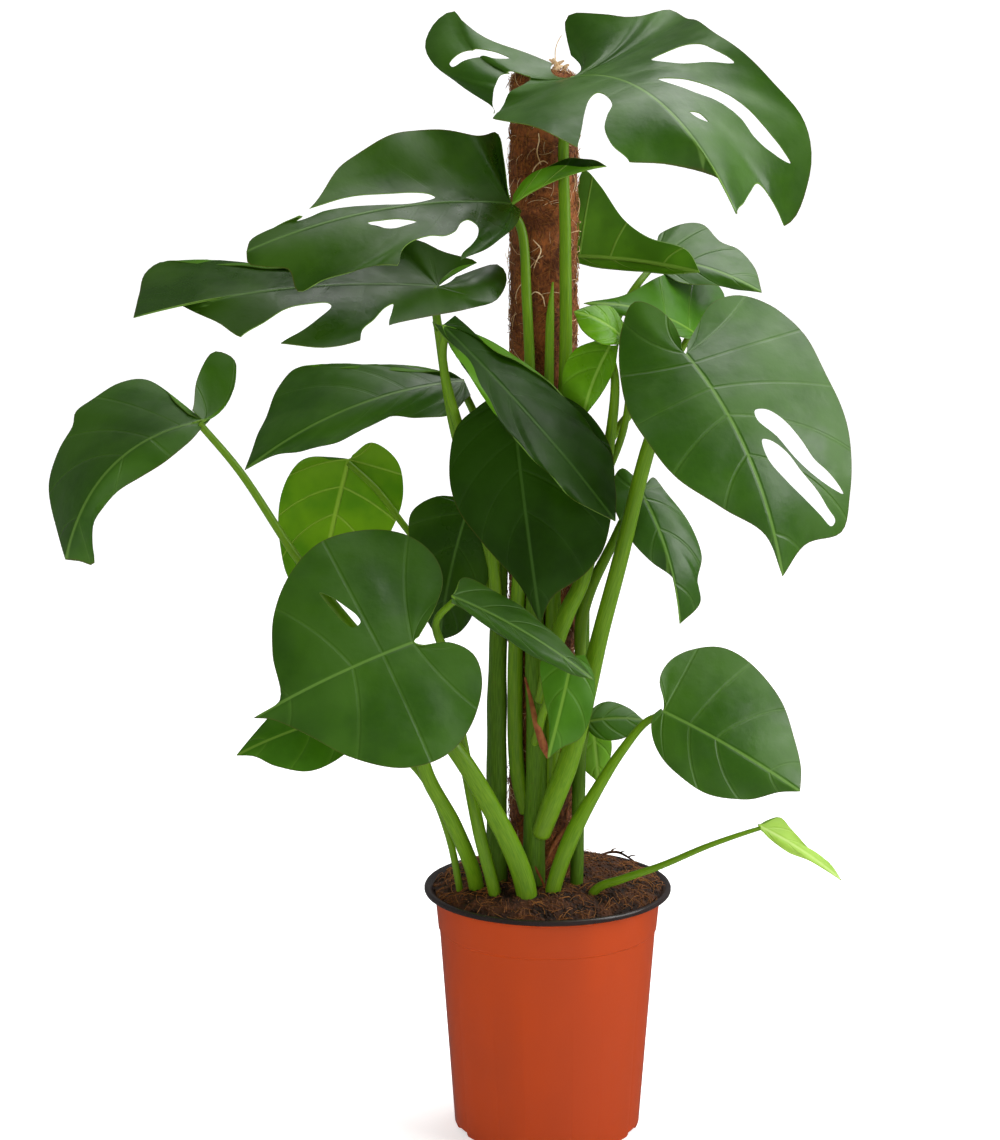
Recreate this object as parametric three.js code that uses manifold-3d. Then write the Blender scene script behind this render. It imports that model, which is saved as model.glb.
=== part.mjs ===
// A climbing monstera in its nursery pot, in millimetres, +Z up, the pot's base on Z = 0.
// Front is -Y and right is +X. Every leaf blade, leaf stalk, climbing stem, the coir pole,
// the stake inside it, the soil and the pot is one closed mesh of its own.

import * as THREE from 'three';
import Module from 'manifold-3d';
import { mergeVertices } from 'three/addons/utils/BufferGeometryUtils.js';

const wasm = await Module();
wasm.setup();

const { lerp, mapLinear } = THREE.MathUtils;
const TURN = 2 * Math.PI;

// ---------------------------------------------------------------- driving dimensions

const GAP = 0.35; // clearance between two pieces that touch on the real plant
const WELD = 1e-4; // points nearer than this are one point

const POT = {
  height: 212.5,
  rimRadius: 105,
  rimDepth: 4.5,
  rimBevel: 1.5,
  lip: 2.5, // width of the flat top of the rim
  collarRadius: 95.7,
  collarDepth: 35,
  collarBevel: 3.5,
  ledgeRadius: 93.2,
  ledge: 1.2,
  ledgeBevel: 2,
  footRadius: 79.5,
  footBevel: 3,
  wall: 1.4,
  floor: 2.4,
  segments: 36,
  drainSlots: 8,
  drainWidth: 22,
  drainHeight: 4.5,
  drainDepth: 7,
};

// The soil is heaped: it rises by mound from its edge, steeply at first, and shares are the
// places of its rings between the centre and the edge. The edge lies inside the flared rim.
const SOIL = {
  level: 210,
  edge: 96.6,
  mound: 14,
  steepness: 5,
  ripple: 1.2,
  clearance: 0.65,
  shares: [1, 0.92, 0.78, 0.5, 0.25],
};

const POLE = {
  x: -5,
  y: 0,
  radius: 27,
  shoulder: 4,
  crown: 2,
  top: 893,
  foot: 30,
  ripple: 0.7,
  rings: 18,
  sides: 14,
};

const STAKE = { radius: 8, top: 872, foot: 6, sides: 10 };

const TUBE = { stemSides: 8, stalkSides: 6 };

// rows are the places of a blade's points between midrib and margin. bow bends the veins
// between them, and curl keeps a margin's lift out near the margin.
const BLADE = {
  thickness: 0.9,
  columns: 9,
  rows: [0, 0.3, 0.6, 0.85, 1],
  bow: 0.12,
  curl: 1.5,
  cutReach: 60,
};

const COLOUR = {
  leaf: 0x3f6b2a,
  leafPale: 0x6f9a3a,
  stalk: 0x7da043,
  stem: 0x5d7a2e,
  coir: 0x6b4a2b,
  timber: 0x8a6a45,
  pot: 0xc4552d,
  soil: 0x3d2618,
};

const ROUGHNESS = { leaf: 0.45, stalk: 0.5, coir: 0.95, timber: 0.8, pot: 0.45, soil: 0.95 };

// ---------------------------------------------------------------- small helpers

const vec = (xyz) => new THREE.Vector3(...xyz);

function finish(colour, roughness) {
  return new THREE.MeshStandardMaterial({ color: colour, roughness, metalness: 0 });
}

// Builds an indexed geometry from points and triangles.
function solidFrom(points, triangles) {
  const geometry = new THREE.BufferGeometry();
  const flat = new Float32Array(points.flatMap((p) => [p.x, p.y, p.z]));
  geometry.setAttribute('position', new THREE.BufferAttribute(flat, 3));
  geometry.setIndex(triangles.flat());
  return geometry;
}

// Turns a closed geometry into a solid that can be joined and cut.
function toManifold(geometry) {
  const bare = geometry.clone();
  bare.deleteAttribute('normal');
  bare.deleteAttribute('uv');
  const merged = mergeVertices(bare, WELD);
  return new wasm.Manifold(
    new wasm.Mesh({
      numProp: 3,
      vertProperties: new Float32Array(merged.attributes.position.array),
      triVerts: new Uint32Array(merged.index.array),
    }),
  );
}

function fromManifold(solid) {
  const { vertProperties, triVerts } = solid.getMesh();
  const geometry = new THREE.BufferGeometry();
  const positions = new Float32Array(vertProperties);
  geometry.setAttribute('position', new THREE.BufferAttribute(positions, 3));
  geometry.setIndex(new THREE.BufferAttribute(new Uint32Array(triVerts), 1));
  return geometry;
}

// The largest body of a solid that cutting may have parted.
function largest(solid) {
  const pieces = solid.decompose();
  return pieces.reduce((most, piece) => (piece.volume() > most.volume() ? piece : most));
}

const subtractAll = (solid, others) => others.reduce((rest, other) => rest.subtract(other), solid);

// A ring of points, one for each angle.
const ring = (count, point) =>
  Array.from({ length: count }, (_, j) => point((TURN * j) / count, j));

// The two triangles between points a and b of one ring and the same points of the next.
const quad = (a, b, count) => [
  [a, b, b + count],
  [a, b + count, a + count],
];

// A closed skin over rings with as many points each, and a point in the middle of both ends.
function skin(rings, low, high) {
  const count = rings[0].length;
  const top = (rings.length - 1) * count;
  const points = [...rings.flat(), low, high];
  const [foot, head] = [points.length - 2, points.length - 1];
  const faces = [];
  for (let j = 0; j < count; j += 1) {
    const k = (j + 1) % count;
    faces.push([foot, k, j], [head, top + j, top + k]);
    for (let i = 0; i < top; i += count) faces.push(...quad(i + j, i + k, count));
  }
  return solidFrom(points, faces);
}

// A closed tube along points, with flat ends. radii are spread evenly along it.
function tube(points, radii, sides) {
  const curve = new THREE.CatmullRomCurve3(points.map(vec), false, 'centripetal');
  const steps = 2 * points.length;
  const { normals, binormals } = curve.computeFrenetFrames(steps, false);
  const rings = normals.map((normal, i) => {
    const at = (i / steps) * (radii.length - 1);
    const k = Math.min(radii.length - 2, Math.floor(at));
    const radius = lerp(radii[k], radii[k + 1], at - k);
    const centre = curve.getPoint(i / steps);
    return ring(sides, (angle) =>
      centre
        .clone()
        .addScaledVector(normal, radius * Math.cos(angle))
        .addScaledVector(binormals[i], radius * Math.sin(angle)),
    );
  });
  return skin(rings, curve.getPoint(0), curve.getPoint(1));
}

// ---------------------------------------------------------------- leaf blades
//
// A blade lies on a bent plane. Its base is where the stalk joins, its tip is the drip tip,
// and up points out of the glossy face. arch lifts the midrib between base and tip, and
// sweep bends it to the left. Margin points are [along the midrib, out from it, lift], from
// the sinus round the lobe to the tip, which closes both sides.

function bladeFrame(leaf) {
  const base = vec(leaf.base);
  const along = vec(leaf.tip).sub(base);
  const length = along.length();
  along.normalize();
  const up = vec(leaf.up);
  up.addScaledVector(along, -up.dot(along)).normalize();
  const left = up.clone().cross(along);
  return { base, along, left, up, length };
}

// How far the arch and the sweep have risen at a share s of the length. Behind the base they
// fall away ever more gently.
const rise = (s) => (s > 0 ? 4 * s * (1 - s) : (4 * s) / (1 - 6 * s));

function place(frame, leaf, along, out, lift) {
  const r = rise(along / frame.length);
  return frame.base
    .clone()
    .addScaledVector(frame.along, along)
    .addScaledVector(frame.left, out + (leaf.sweep ?? 0) * r)
    .addScaledVector(frame.up, lift + (leaf.arch ?? 0) * r);
}

// Veins run from the midrib to the margin. Each pair is [share of the margin, share of the
// midrib where that vein starts], and the veins between two pairs are spread evenly.
const VEINS = [[0.3, 0], [0.75, 0.42], [1, 1]];

function veinStart(u) {
  let [low, start] = [0, 0];
  for (const [high, end] of VEINS) {
    if (u <= high) return mapLinear(u, low, high, start, end);
    [low, start] = [high, end];
  }
  return 1;
}

// Lays one half of a blade out in columns, each along a vein.
function halfBlade(leaf, frame, side, mesh) {
  const sign = side === 'left' ? 1 : -1;
  const outline = [...leaf[side], [frame.length, 0, 0]];
  const margin = new THREE.CatmullRomCurve3(outline.map(vec), false, 'centripetal');
  const bend = leaf.bow ?? BLADE.bow;
  const count = leaf.columns ?? BLADE.columns;

  const column = (u) => {
    const rim = margin.getPointAt(u);
    const start = veinStart(u) * frame.length;
    const run = rim.x - start;
    const reach = Math.hypot(run, rim.y) || 1;
    return BLADE.rows.map((r) => {
      const bow = (bend * 4 * r * (1 - r) * run) / reach;
      const along = lerp(start, rim.x, r) - bow * rim.y;
      const out = rim.y * r + bow * run;
      return mesh.vertex(place(frame, leaf, along, sign * out, rim.z * r ** BLADE.curl));
    });
  };

  let last = column(0);
  for (let i = 1; i <= count; i += 1) {
    const next = column(i / count);
    mesh.strip(last, next, sign > 0);
    last = next;
  }
}

// Collects the blade's middle surface, then gives it its thickness.
class BladeMesh {
  constructor() {
    this.points = [];
    this.faces = [];
    this.known = new Map();
  }

  vertex(p) {
    const key = [p.x, p.y, p.z].map((v) => v.toFixed(2)).join();
    if (!this.known.has(key)) this.known.set(key, this.points.push(p) - 1);
    return this.known.get(key);
  }

  face(a, b, c, flip) {
    if (a === b || b === c || a === c) return;
    this.faces.push(flip ? [a, c, b] : [a, b, c]);
  }

  strip(first, second, flip) {
    for (let j = 0; j + 1 < first.length; j += 1) {
      this.face(first[j], first[j + 1], second[j + 1], flip);
      this.face(first[j], second[j + 1], second[j], flip);
    }
  }

  normals() {
    const normals = this.points.map(() => new THREE.Vector3());
    const [a, b] = [new THREE.Vector3(), new THREE.Vector3()];
    for (const face of this.faces) {
      const [p, q, r] = face.map((i) => this.points[i]);
      a.subVectors(q, p).cross(b.subVectors(r, p));
      face.forEach((i) => normals[i].add(a));
    }
    return normals.map((normal) => normal.normalize());
  }

  // The edges that only one face has, in that face's direction.
  rim() {
    const edges = this.faces.flatMap(([p, q, r]) => [[p, q], [q, r], [r, p]]);
    const known = new Set(edges.map((edge) => edge.join()));
    return edges.filter(([p, q]) => !known.has([q, p].join()));
  }

  thicken(thickness) {
    const normals = this.normals();
    const layer = (offset) =>
      this.points.map((p, i) => p.clone().addScaledVector(normals[i], offset));
    const count = this.points.length;
    const faces = [
      ...this.faces,
      ...this.faces.map(([p, q, r]) => [p + count, r + count, q + count]),
      ...this.rim().flatMap(([p, q]) => [[p, p + count, q + count], [p, q + count, q]]),
    ];
    return solidFrom([...layer(thickness / 2), ...layer(-thickness / 2)], faces);
  }
}

// A cut runs straight through the blade, along its up direction. Its outline holds
// [along, out] pairs, out to the left, round a hole or round a slit that is open at the margin.
function cutter(leaf, frame, outline) {
  const corners = outline.map(([along, out]) => new THREE.Vector2(along, out));
  if (THREE.ShapeUtils.isClockWise(corners)) corners.reverse();
  const count = corners.length;
  const level = (lift) => corners.map(({ x, y }) => place(frame, leaf, x, y, lift));
  const faces = THREE.ShapeUtils.triangulateShape(corners, []).flatMap(([a, b, c]) => [
    [a, c, b],
    [a + count, b + count, c + count],
  ]);
  corners.forEach((_, i) => faces.push(...quad(i, (i + 1) % count, count)));
  return toManifold(solidFrom([...level(-BLADE.cutReach), ...level(BLADE.cutReach)], faces));
}

// The whole blade with its folded lobes, before it is cut.
function bladeShell(leaf, thickness) {
  const frame = bladeFrame(leaf);
  const mesh = new BladeMesh();
  halfBlade(leaf, frame, 'left', mesh);
  halfBlade(leaf, frame, 'right', mesh);
  const shell = toManifold(mesh.thicken(thickness));
  const lobes = (leaf.lobes ?? []).map((lobe) => bladeShell(lobe, thickness));
  return lobes.reduce((whole, lobe) => whole.add(lobe), shell);
}

function blade(leaf) {
  const frame = bladeFrame(leaf);
  const cutters = (leaf.cuts ?? []).map((outline) => cutter(leaf, frame, outline));
  return fromManifold(largest(subtractAll(bladeShell(leaf, BLADE.thickness), cutters)));
}

// ---------------------------------------------------------------- the leaves

const LEAVES = [
  {
    name: 'top_right',
    base: [16, -42, 890],
    tip: [136, -190, 792],
    up: [0.1, -0.5, 0.86],
    arch: 38,
    bow: 0.2,
    columns: 14,
    left: [
      [-42, 31, 3], [-59, 38, 10], [-71, 44, 20], [-71, 49, 26], [-49, 64, 31], [-31, 75, 31],
      [-27, 85, 31], [-32, 121, 28], [64, 93, 16], [119, 98, 4], [158, 106, -8], [182, 99, -16],
      [195, 87, -28], [201, 75, -42], [200, 65, -50], [209, 32, -26],
    ],
    right: [
      [-34, -6, 5], [-54, 5, 9], [-87, 23, 14], [-116, 26, 15], [-135, 23, 14], [-137, 37, 8],
      [-125, 55, -2], [-101, 62, -8], [-68, 59, -12], [-25, 56, -15], [21, 89, -16],
      [63, 85, -17], [102, 80, -18], [127, 66, -18], [140, 49, -18], [155, 22, -16],
      [178, -10, -14], [194, -11, -8],
    ],
    cuts: [
      [[45, 41], [44, 58], [48, 71], [58, 78], [72, 80], [94, 84], [80, 69], [67, 52]],
      [
        [77, 23], [86, 40], [102, 53], [117, 62], [134, 70], [152, 76], [167, 81], [177, 83],
        [167, 73], [153, 63], [138, 59], [120, 49], [104, 35],
      ],
      [[126, 17], [128, 25], [137, 28], [133, 20]],
      [
        [112, -77], [100, -65], [82, -49], [70, -36], [67, -27], [74, -25], [90, -30], [99, -41],
        [109, -50], [124, -53], [141, -48], [150, -62], [142, -90], [125, -94],
      ],
      [
        [-7, -68], [-31, -52], [-37, -46], [-43, -36], [-40, -30], [-29, -24], [-23, -22],
        [-20, -36], [-18, -49], [22, -94], [-7, -92],
      ],
      [
        [-85, -58], [-87, -50], [-85, -41], [-74, -32], [-65, -25], [-55, -21], [-60, -32],
        [-71, -38], [-77, -50], [-79, -58],
      ],
      [
        [178, 51], [190, 34], [202, 18], [215, 1], [235, 4], [225, 75], [199, 66], [192, 64],
        [184, 60], [179, 55],
      ],
    ],
  },
  {
    name: 'upper_left',
    base: [-31, -35, 790],
    tip: [-236, -130, 759],
    up: [-0.1, -0.5, 0.86],
    arch: 16,
    columns: 12,
    left: [
      [-7, 4, -4], [6, 22, -6], [25, 39, -10], [48, 53, -13], [75, 66, -15], [101, 74, -16],
      [126, 62, -14], [140, 55, -13], [167, 55, -14], [184, 46, -18], [202, 42, -24],
      [203, 24, -14], [220, 16, -8], [230, 9, -5],
    ],
    right: [
      [-2, 13, 6], [-8, 35, 24], [-13, 59, 34], [15, 45, 38], [56, 54, 38], [96, 50, 33],
      [130, 44, 20], [174, 14, 5], [194, 16, 1], [218, 14, -1],
    ],
    lobes: [
      {
        base: [-31, -35, 790],
        tip: [44, -58, 821],
        up: [0, 0, 1],
        arch: 5,
        columns: 6,
        left: [[8, 3, 5], [25, 5, 10], [41, 7, 13], [54, 7, 13], [66, 6, 10], [77, 3, 6]],
        right: [[5, 3, 5], [16, 4, 10], [34, 5, 12], [47, 5, 10], [67, 3, 3]],
      },
    ],
    cuts: [
      [
        [182, -13], [156, -18], [133, -20], [108, -18], [83, -15], [68, -11], [65, -7], [89, -2],
        [114, -6], [138, -11], [158, -13], [175, -12],
      ],
      [[132, 12], [121, 13], [109, 15], [99, 19], [95, 23], [106, 25], [117, 25], [126, 20]],
      [
        [51, 26], [47, 33], [52, 45], [61, 54], [75, 64], [84, 82], [112, 84], [130, 65],
        [125, 58], [119, 49], [109, 43], [91, 40], [80, 43], [69, 39], [59, 29],
      ],
    ],
  },
  {
    name: 'mid_left',
    base: [-90, -60, 726],
    tip: [-327, -110, 706],
    up: [-0.05, -0.42, 0.9],
    arch: 12,
    columns: 13,
    left: [
      [-18, -17, 0], [-36, -29, -1], [-58, -37, -3], [-62, -25, -7], [-47, 1, -13],
      [-27, 10, -14], [1, 20, -14], [28, 32, -14], [48, 43, -14], [66, 58, -14], [106, 71, -15],
      [137, 60, -13], [166, 45, -11], [180, 22, -9], [197, -4, -8], [211, -23, -7],
      [223, -27, -6], [234, -17, -4],
    ],
    right: [
      [-6, 9, 4], [-20, 19, 8], [-37, 21, 10], [-25, 28, 12], [-11, 35, 14], [3, 42, 18],
      [18, 43, 20], [46, 57, 24], [82, 51, 16], [106, 30, 6], [130, 32, 2], [152, 45, 0],
      [188, 67, -2], [212, 81, -4], [225, 73, -5], [234, 39, -4],
    ],
    cuts: [
      [[41, 24], [49, 30], [60, 43], [72, 55], [74, 72], [50, 62], [48, 42], [44, 33]],
      [
        [165, 45], [146, 37], [126, 26], [108, 23], [93, 24], [91, 29], [104, 42], [118, 52],
        [136, 60], [156, 74], [180, 62],
      ],
    ],
  },
  {
    name: 'far_left',
    base: [-279, -60, 618],
    tip: [-387, -100, 512],
    up: [-0.3, -0.55, 0.75],
    arch: 34,
    columns: 11,
    left: [
      [0, -10, 8], [-24, -37, 16], [-49, -47, 20], [-56, -33, 12], [-49, -22, 8], [-27, -18, 2],
      [1, 1, -4], [21, 14, -9], [47, 21, -12], [68, 17, -14], [90, 8, -15], [105, 5, -15],
      [121, 4, -14], [133, 6, -20], [143, 8, -28], [150, 5, -12],
    ],
    right: [
      [4, 12, 3], [3, 36, 2], [0, 66, 0], [5, 88, -2], [22, 93, -3], [47, 92, -6], [64, 91, -8],
      [74, 82, -10], [96, 79, -12], [119, 70, -14], [135, 50, -12], [148, 20, -5],
    ],
  },
  {
    name: 'left_drooping',
    base: [-70, 10, 642],
    tip: [-250, -20, 572],
    up: [-0.15, -0.6, 0.8],
    arch: 20,
    left: [
      [1, 19, 0], [27, 34, -6], [50, 26, -8], [72, 15, -10], [107, 18, -12], [135, 15, -10],
      [173, 1, -4],
    ],
    right: [[8, 9, 4], [43, 23, 0], [89, 50, -2], [127, 75, -4], [164, 42, -6]],
  },
  {
    name: 'centre_folded',
    base: [-86, -90, 698],
    tip: [50, -130, 548],
    up: [0.5, -0.65, 0.6],
    arch: 6,
    left: [
      [-1, 18, 0], [44, 18, 4], [66, 31, 4], [107, 44, 0], [143, 47, -4], [165, 46, -6],
      [190, 22, -4],
    ],
    right: [
      [2, 10, 0], [-7, 7, 2], [7, 10, 2], [35, 9, 2], [62, 20, 2], [100, 29, 0], [149, 23, -2],
      [174, 19, -2],
    ],
  },
  {
    name: 'centre_dark',
    base: [-31, -62, 637],
    tip: [-8, -95, 459],
    up: [-0.1, -0.85, 0.5],
    arch: 14,
    left: [
      [-4, 7, 2], [-1, 31, 0], [17, 57, -4], [52, 74, -8], [92, 70, -8], [129, 58, -8],
      [148, 40, -6], [163, 12, -2],
    ],
    right: [
      [-6, 9, 2], [3, 27, 0], [18, 47, -4], [51, 57, -8], [80, 55, -8], [112, 38, -6],
      [151, 12, -4],
    ],
  },
  {
    name: 'right_split',
    base: [106, -95, 676],
    tip: [180, -150, 508],
    up: [0.15, -0.75, 0.65],
    arch: 30,
    columns: 11,
    left: [
      [-7, 5, 2], [-19, 22, 0], [-34, 45, -2], [-33, 72, -4], [-15, 95, -8], [17, 104, -12],
      [60, 100, -14], [105, 97, -16], [151, 79, -14], [175, 65, -12], [175, 28, -8],
    ],
    right: [
      [-12, -3, 2], [-30, -5, 0], [-47, 1, -4], [-57, 14, -8], [-40, 31, -14], [-5, 52, -14],
      [32, 67, -12], [62, 67, -10], [96, 58, -8], [128, 33, -6], [158, 7, -2],
    ],
    cuts: [
      [
        [65, 23], [67, 33], [79, 43], [98, 50], [116, 55], [129, 64], [140, 70], [149, 73],
        [142, 63], [126, 48], [110, 38], [90, 30], [73, 21],
      ],
      [
        [89, 17], [92, 24], [104, 33], [122, 40], [140, 49], [155, 55], [166, 60], [169, 55],
        [158, 46], [143, 35], [126, 24], [105, 15],
      ],
    ],
  },
  {
    name: 'front_round',
    base: [-109, -140, 453],
    tip: [-233, -170, 399],
    up: [-0.15, -0.85, 0.5],
    arch: 8,
    columns: 10,
    left: [
      [-5, 6, 2], [-26, 12, 0], [-39, 28, -4], [-36, 49, -8], [-12, 79, -10], [18, 94, -10],
      [52, 90, -10], [85, 63, -8], [108, 31, -4], [126, 8, -2],
    ],
    right: [
      [-6, 2, 2], [-30, 21, 0], [-46, 42, -4], [-48, 66, -6], [-36, 91, -8], [-9, 110, -10],
      [27, 115, -12], [62, 99, -12], [88, 73, -10], [103, 42, -8], [115, 2, -2],
    ],
    cuts: [
      [[48, -72], [41, -64], [35, -52], [30, -40], [30, -33], [37, -31], [42, -39], [46, -56]],
    ],
  },
  {
    name: 'back_left',
    base: [-169, 60, 569],
    tip: [-195, 30, 449],
    up: [-0.1, 0.9, 0.4],
    arch: 8,
    columns: 7,
    left: [[5, 6, 0], [4, 28, 0], [12, 41, 0], [42, 50, -4], [81, 43, -6], [111, 28, -4]],
    right: [[-4, 2, 0], [-18, 15, -2], [-8, 40, -4], [15, 51, -8], [43, 51, -8], [89, 35, -4]],
  },
  {
    name: 'low_left',
    base: [-165, -70, 377],
    tip: [-255, -85, 347],
    up: [-0.15, -0.7, 0.7],
    arch: 6,
    columns: 7,
    left: [[-3, 8, 0], [5, 27, -4], [24, 37, -6], [47, 36, -8], [69, 22, -6], [82, 8, -2]],
    right: [[-6, 9, 0], [-5, 25, 0], [21, 37, -2], [55, 26, -4]],
  },
  {
    name: 'behind_left',
    base: [-66, 10, 538],
    tip: [-91, -12, 427],
    up: [-0.3, -0.8, 0.5],
    arch: 8,
    columns: 7,
    left: [[-1, 7, 0], [12, 23, -4], [45, 32, -6], [80, 27, -6], [105, 17, -2]],
    right: [[-5, 9, 0], [-1, 33, -2], [16, 51, -6], [39, 48, -8], [71, 35, -8], [98, 18, -4]],
  },
  {
    name: 'centre_edge',
    base: [-78, -125, 487],
    tip: [33, -140, 423],
    up: [0.25, -0.45, 0.85],
    arch: 6,
    columns: 7,
    left: [[0, 7, 2], [-1, 25, 2], [22, 26, 2], [55, 25, 0], [91, 18, -2], [113, 10, -2]],
    right: [[2, 6, -2], [11, 4, -4], [31, 4, -8], [65, 10, -8], [90, 10, -6], [114, 5, -4]],
  },
  {
    name: 'centre_low',
    base: [18, -92, 432],
    tip: [-2, -110, 351],
    up: [0.15, -0.85, 0.5],
    arch: 6,
    columns: 7,
    left: [[-3, 10, 0], [15, 22, -4], [39, 26, -6], [63, 22, -6], [74, 9, -2]],
    right: [[-2, 11, 0], [10, 24, -4], [33, 17, -6], [59, 5, -4]],
  },
  {
    name: 'small_right',
    base: [31, -5, 355],
    tip: [80, -5, 357],
    up: [0, -0.6, 0.8],
    arch: 4,
    columns: 6,
    left: [[3, 4, 0], [10, 17, -2], [20, 21, -3], [36, 14, -2]],
    right: [[2, 4, 0], [8, 16, -2], [23, 22, -2], [40, 14, -2]],
  },
  {
    name: 'small_back',
    base: [39, 60, 340],
    tip: [45, 62, 285],
    up: [0.1, -0.9, 0.4],
    arch: 3,
    columns: 6,
    pale: true,
    left: [[-2, 7, 0], [20, 15, -2], [44, 9, -2]],
    right: [[-3, 6, 0], [15, 15, -2], [38, 13, -2]],
  },
  {
    name: 'low_right',
    base: [95, -40, 373],
    tip: [207, -60, 310],
    up: [0.1, -0.85, 0.5],
    arch: 8,
    left: [
      [-1, 6, 2], [-16, 23, 0], [-17, 42, -4], [-7, 61, -6], [14, 76, -8], [43, 76, -8],
      [79, 61, -8], [106, 37, -6], [122, 17, -2],
    ],
    right: [
      [-3, -1, 2], [-6, 8, 0], [4, 25, -4], [25, 38, -6], [61, 43, -8], [94, 30, -8],
      [116, 9, -4],
    ],
  },
  {
    name: 'young_rolled',
    base: [172, -75, 285],
    tip: [239, -90, 243],
    up: [0.3, -0.6, 0.75],
    arch: 4,
    columns: 6,
    pale: true,
    left: [[3, 5, 2], [11, 17, 2], [24, 12, 2], [48, 5, 0], [66, 6, 0]],
    right: [[2, 1, -2], [13, 2, -4], [33, 5, -5], [52, 1, -3]],
  },
  {
    name: 'right_small',
    base: [75, -20, 555],
    tip: [107, -45, 448],
    up: [0.3, -0.8, 0.45],
    arch: 14,
    columns: 8,
    left: [
      [-4, 7, 0], [-8, 16, 0], [9, 23, -4], [42, 33, -8], [66, 34, -8], [84, 25, -8],
      [102, 24, -6],
    ],
    right: [
      [-11, -1, 0], [-22, 8, 0], [-15, 17, -4], [6, 26, -6], [34, 24, -8], [59, 12, -8],
      [78, -5, -8], [96, -7, -4],
    ],
  },
  {
    name: 'back_right_high',
    base: [18, 52, 742],
    tip: [126, 42, 729],
    up: [0.1, 0.88, 0.45],
    arch: 6,
    columns: 8,
    left: [[4, 5, -2], [26, 7, -6], [62, 5, -8], [85, 4, -6]],
    right: [
      [0, 15, 0], [0, 49, 0], [5, 83, -2], [19, 70, -2], [42, 38, -2], [63, 25, -2], [96, 18, 0],
    ],
  },
  {
    name: 'back_right_low',
    base: [89, 82, 737],
    tip: [179, 55, 711],
    up: [0.2, -0.6, 0.8],
    arch: 8,
    columns: 7,
    left: [
      [-5, 24, 0], [-7, 38, 0], [5, 52, 0], [23, 60, -2], [46, 43, -4], [63, 41, -4],
      [80, 30, -4],
    ],
    right: [[7, 11, -2], [30, 23, -4], [63, 10, -6], [79, 4, -6]],
  },
  {
    name: 'right_pale',
    base: [122, 30, 679],
    tip: [28, 0, 707],
    up: [-0.3, -0.6, 0.75],
    arch: 10,
    columns: 8,
    pale: true,
    left: [[6, 10, -2], [24, 12, -4], [37, 6, -6], [51, 4, -6], [76, 7, -4]],
    right: [[-17, 24, 0], [-40, 69, -2], [-22, 89, -2], [-3, 81, 0], [31, 50, 0], [71, 13, -2]],
  },
  {
    name: 'young_crumpled',
    base: [48, -60, 679],
    tip: [26, -60, 620],
    up: [-0.3, -0.8, 0.5],
    arch: 6,
    columns: 6,
    pale: true,
    left: [[-3, 6, 0], [17, 11, -4], [40, 8, -4]],
    right: [[-1, 11, 0], [14, 27, -2], [37, 30, -4], [56, 19, -2]],
  },
  {
    name: 'young_small',
    base: [57, -70, 686],
    tip: [18, -70, 707],
    up: [0, -0.6, 0.8],
    arch: 5,
    columns: 6,
    pale: true,
    left: [[1, 8, -2], [15, 18, -4], [32, 15, -3]],
    right: [[3, 13, 0], [18, 22, -2], [34, 13, -2]],
  },
];

// ---------------------------------------------------------------- climbing stems
//
// Each stem is rooted in the soil and climbs against the pole. Points run from the root up.

const STEMS = [
  {
    name: 'stem_front',
    points: [[-14, -46, 150], [-13, -42, 230], [-10, -38, 330], [-12, -38, 450], [-6, -37, 590]],
    radii: [9, 9, 8, 7, 5],
  },
  {
    name: 'stem_left',
    points: [[-42, -30, 150], [-43, -27, 260], [-43, -23, 380], [-40, -18, 500]],
    radii: [8, 8, 7.5, 5.5],
  },
  {
    name: 'stem_right',
    points: [[23, -34, 150], [24, -31, 230], [26, -26, 340], [28, -18, 450], [28, -12, 560]],
    radii: [5, 5, 5, 5.5, 5],
  },
  {
    name: 'stem_back',
    points: [[0, 40, 150], [-2, 37, 300], [2, 36, 500], [4, 35, 640]],
    radii: [8, 8, 7, 5],
  },
];

// ---------------------------------------------------------------- leaf stalks
//
// Points run from the foot to just under the blade, where the stalk is led on to the blade's
// base by itself. on names the stem that the stalk's sheath grows from; the others are rooted
// in the soil. seat moves the place on the blade that the stalk is led to.

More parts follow.
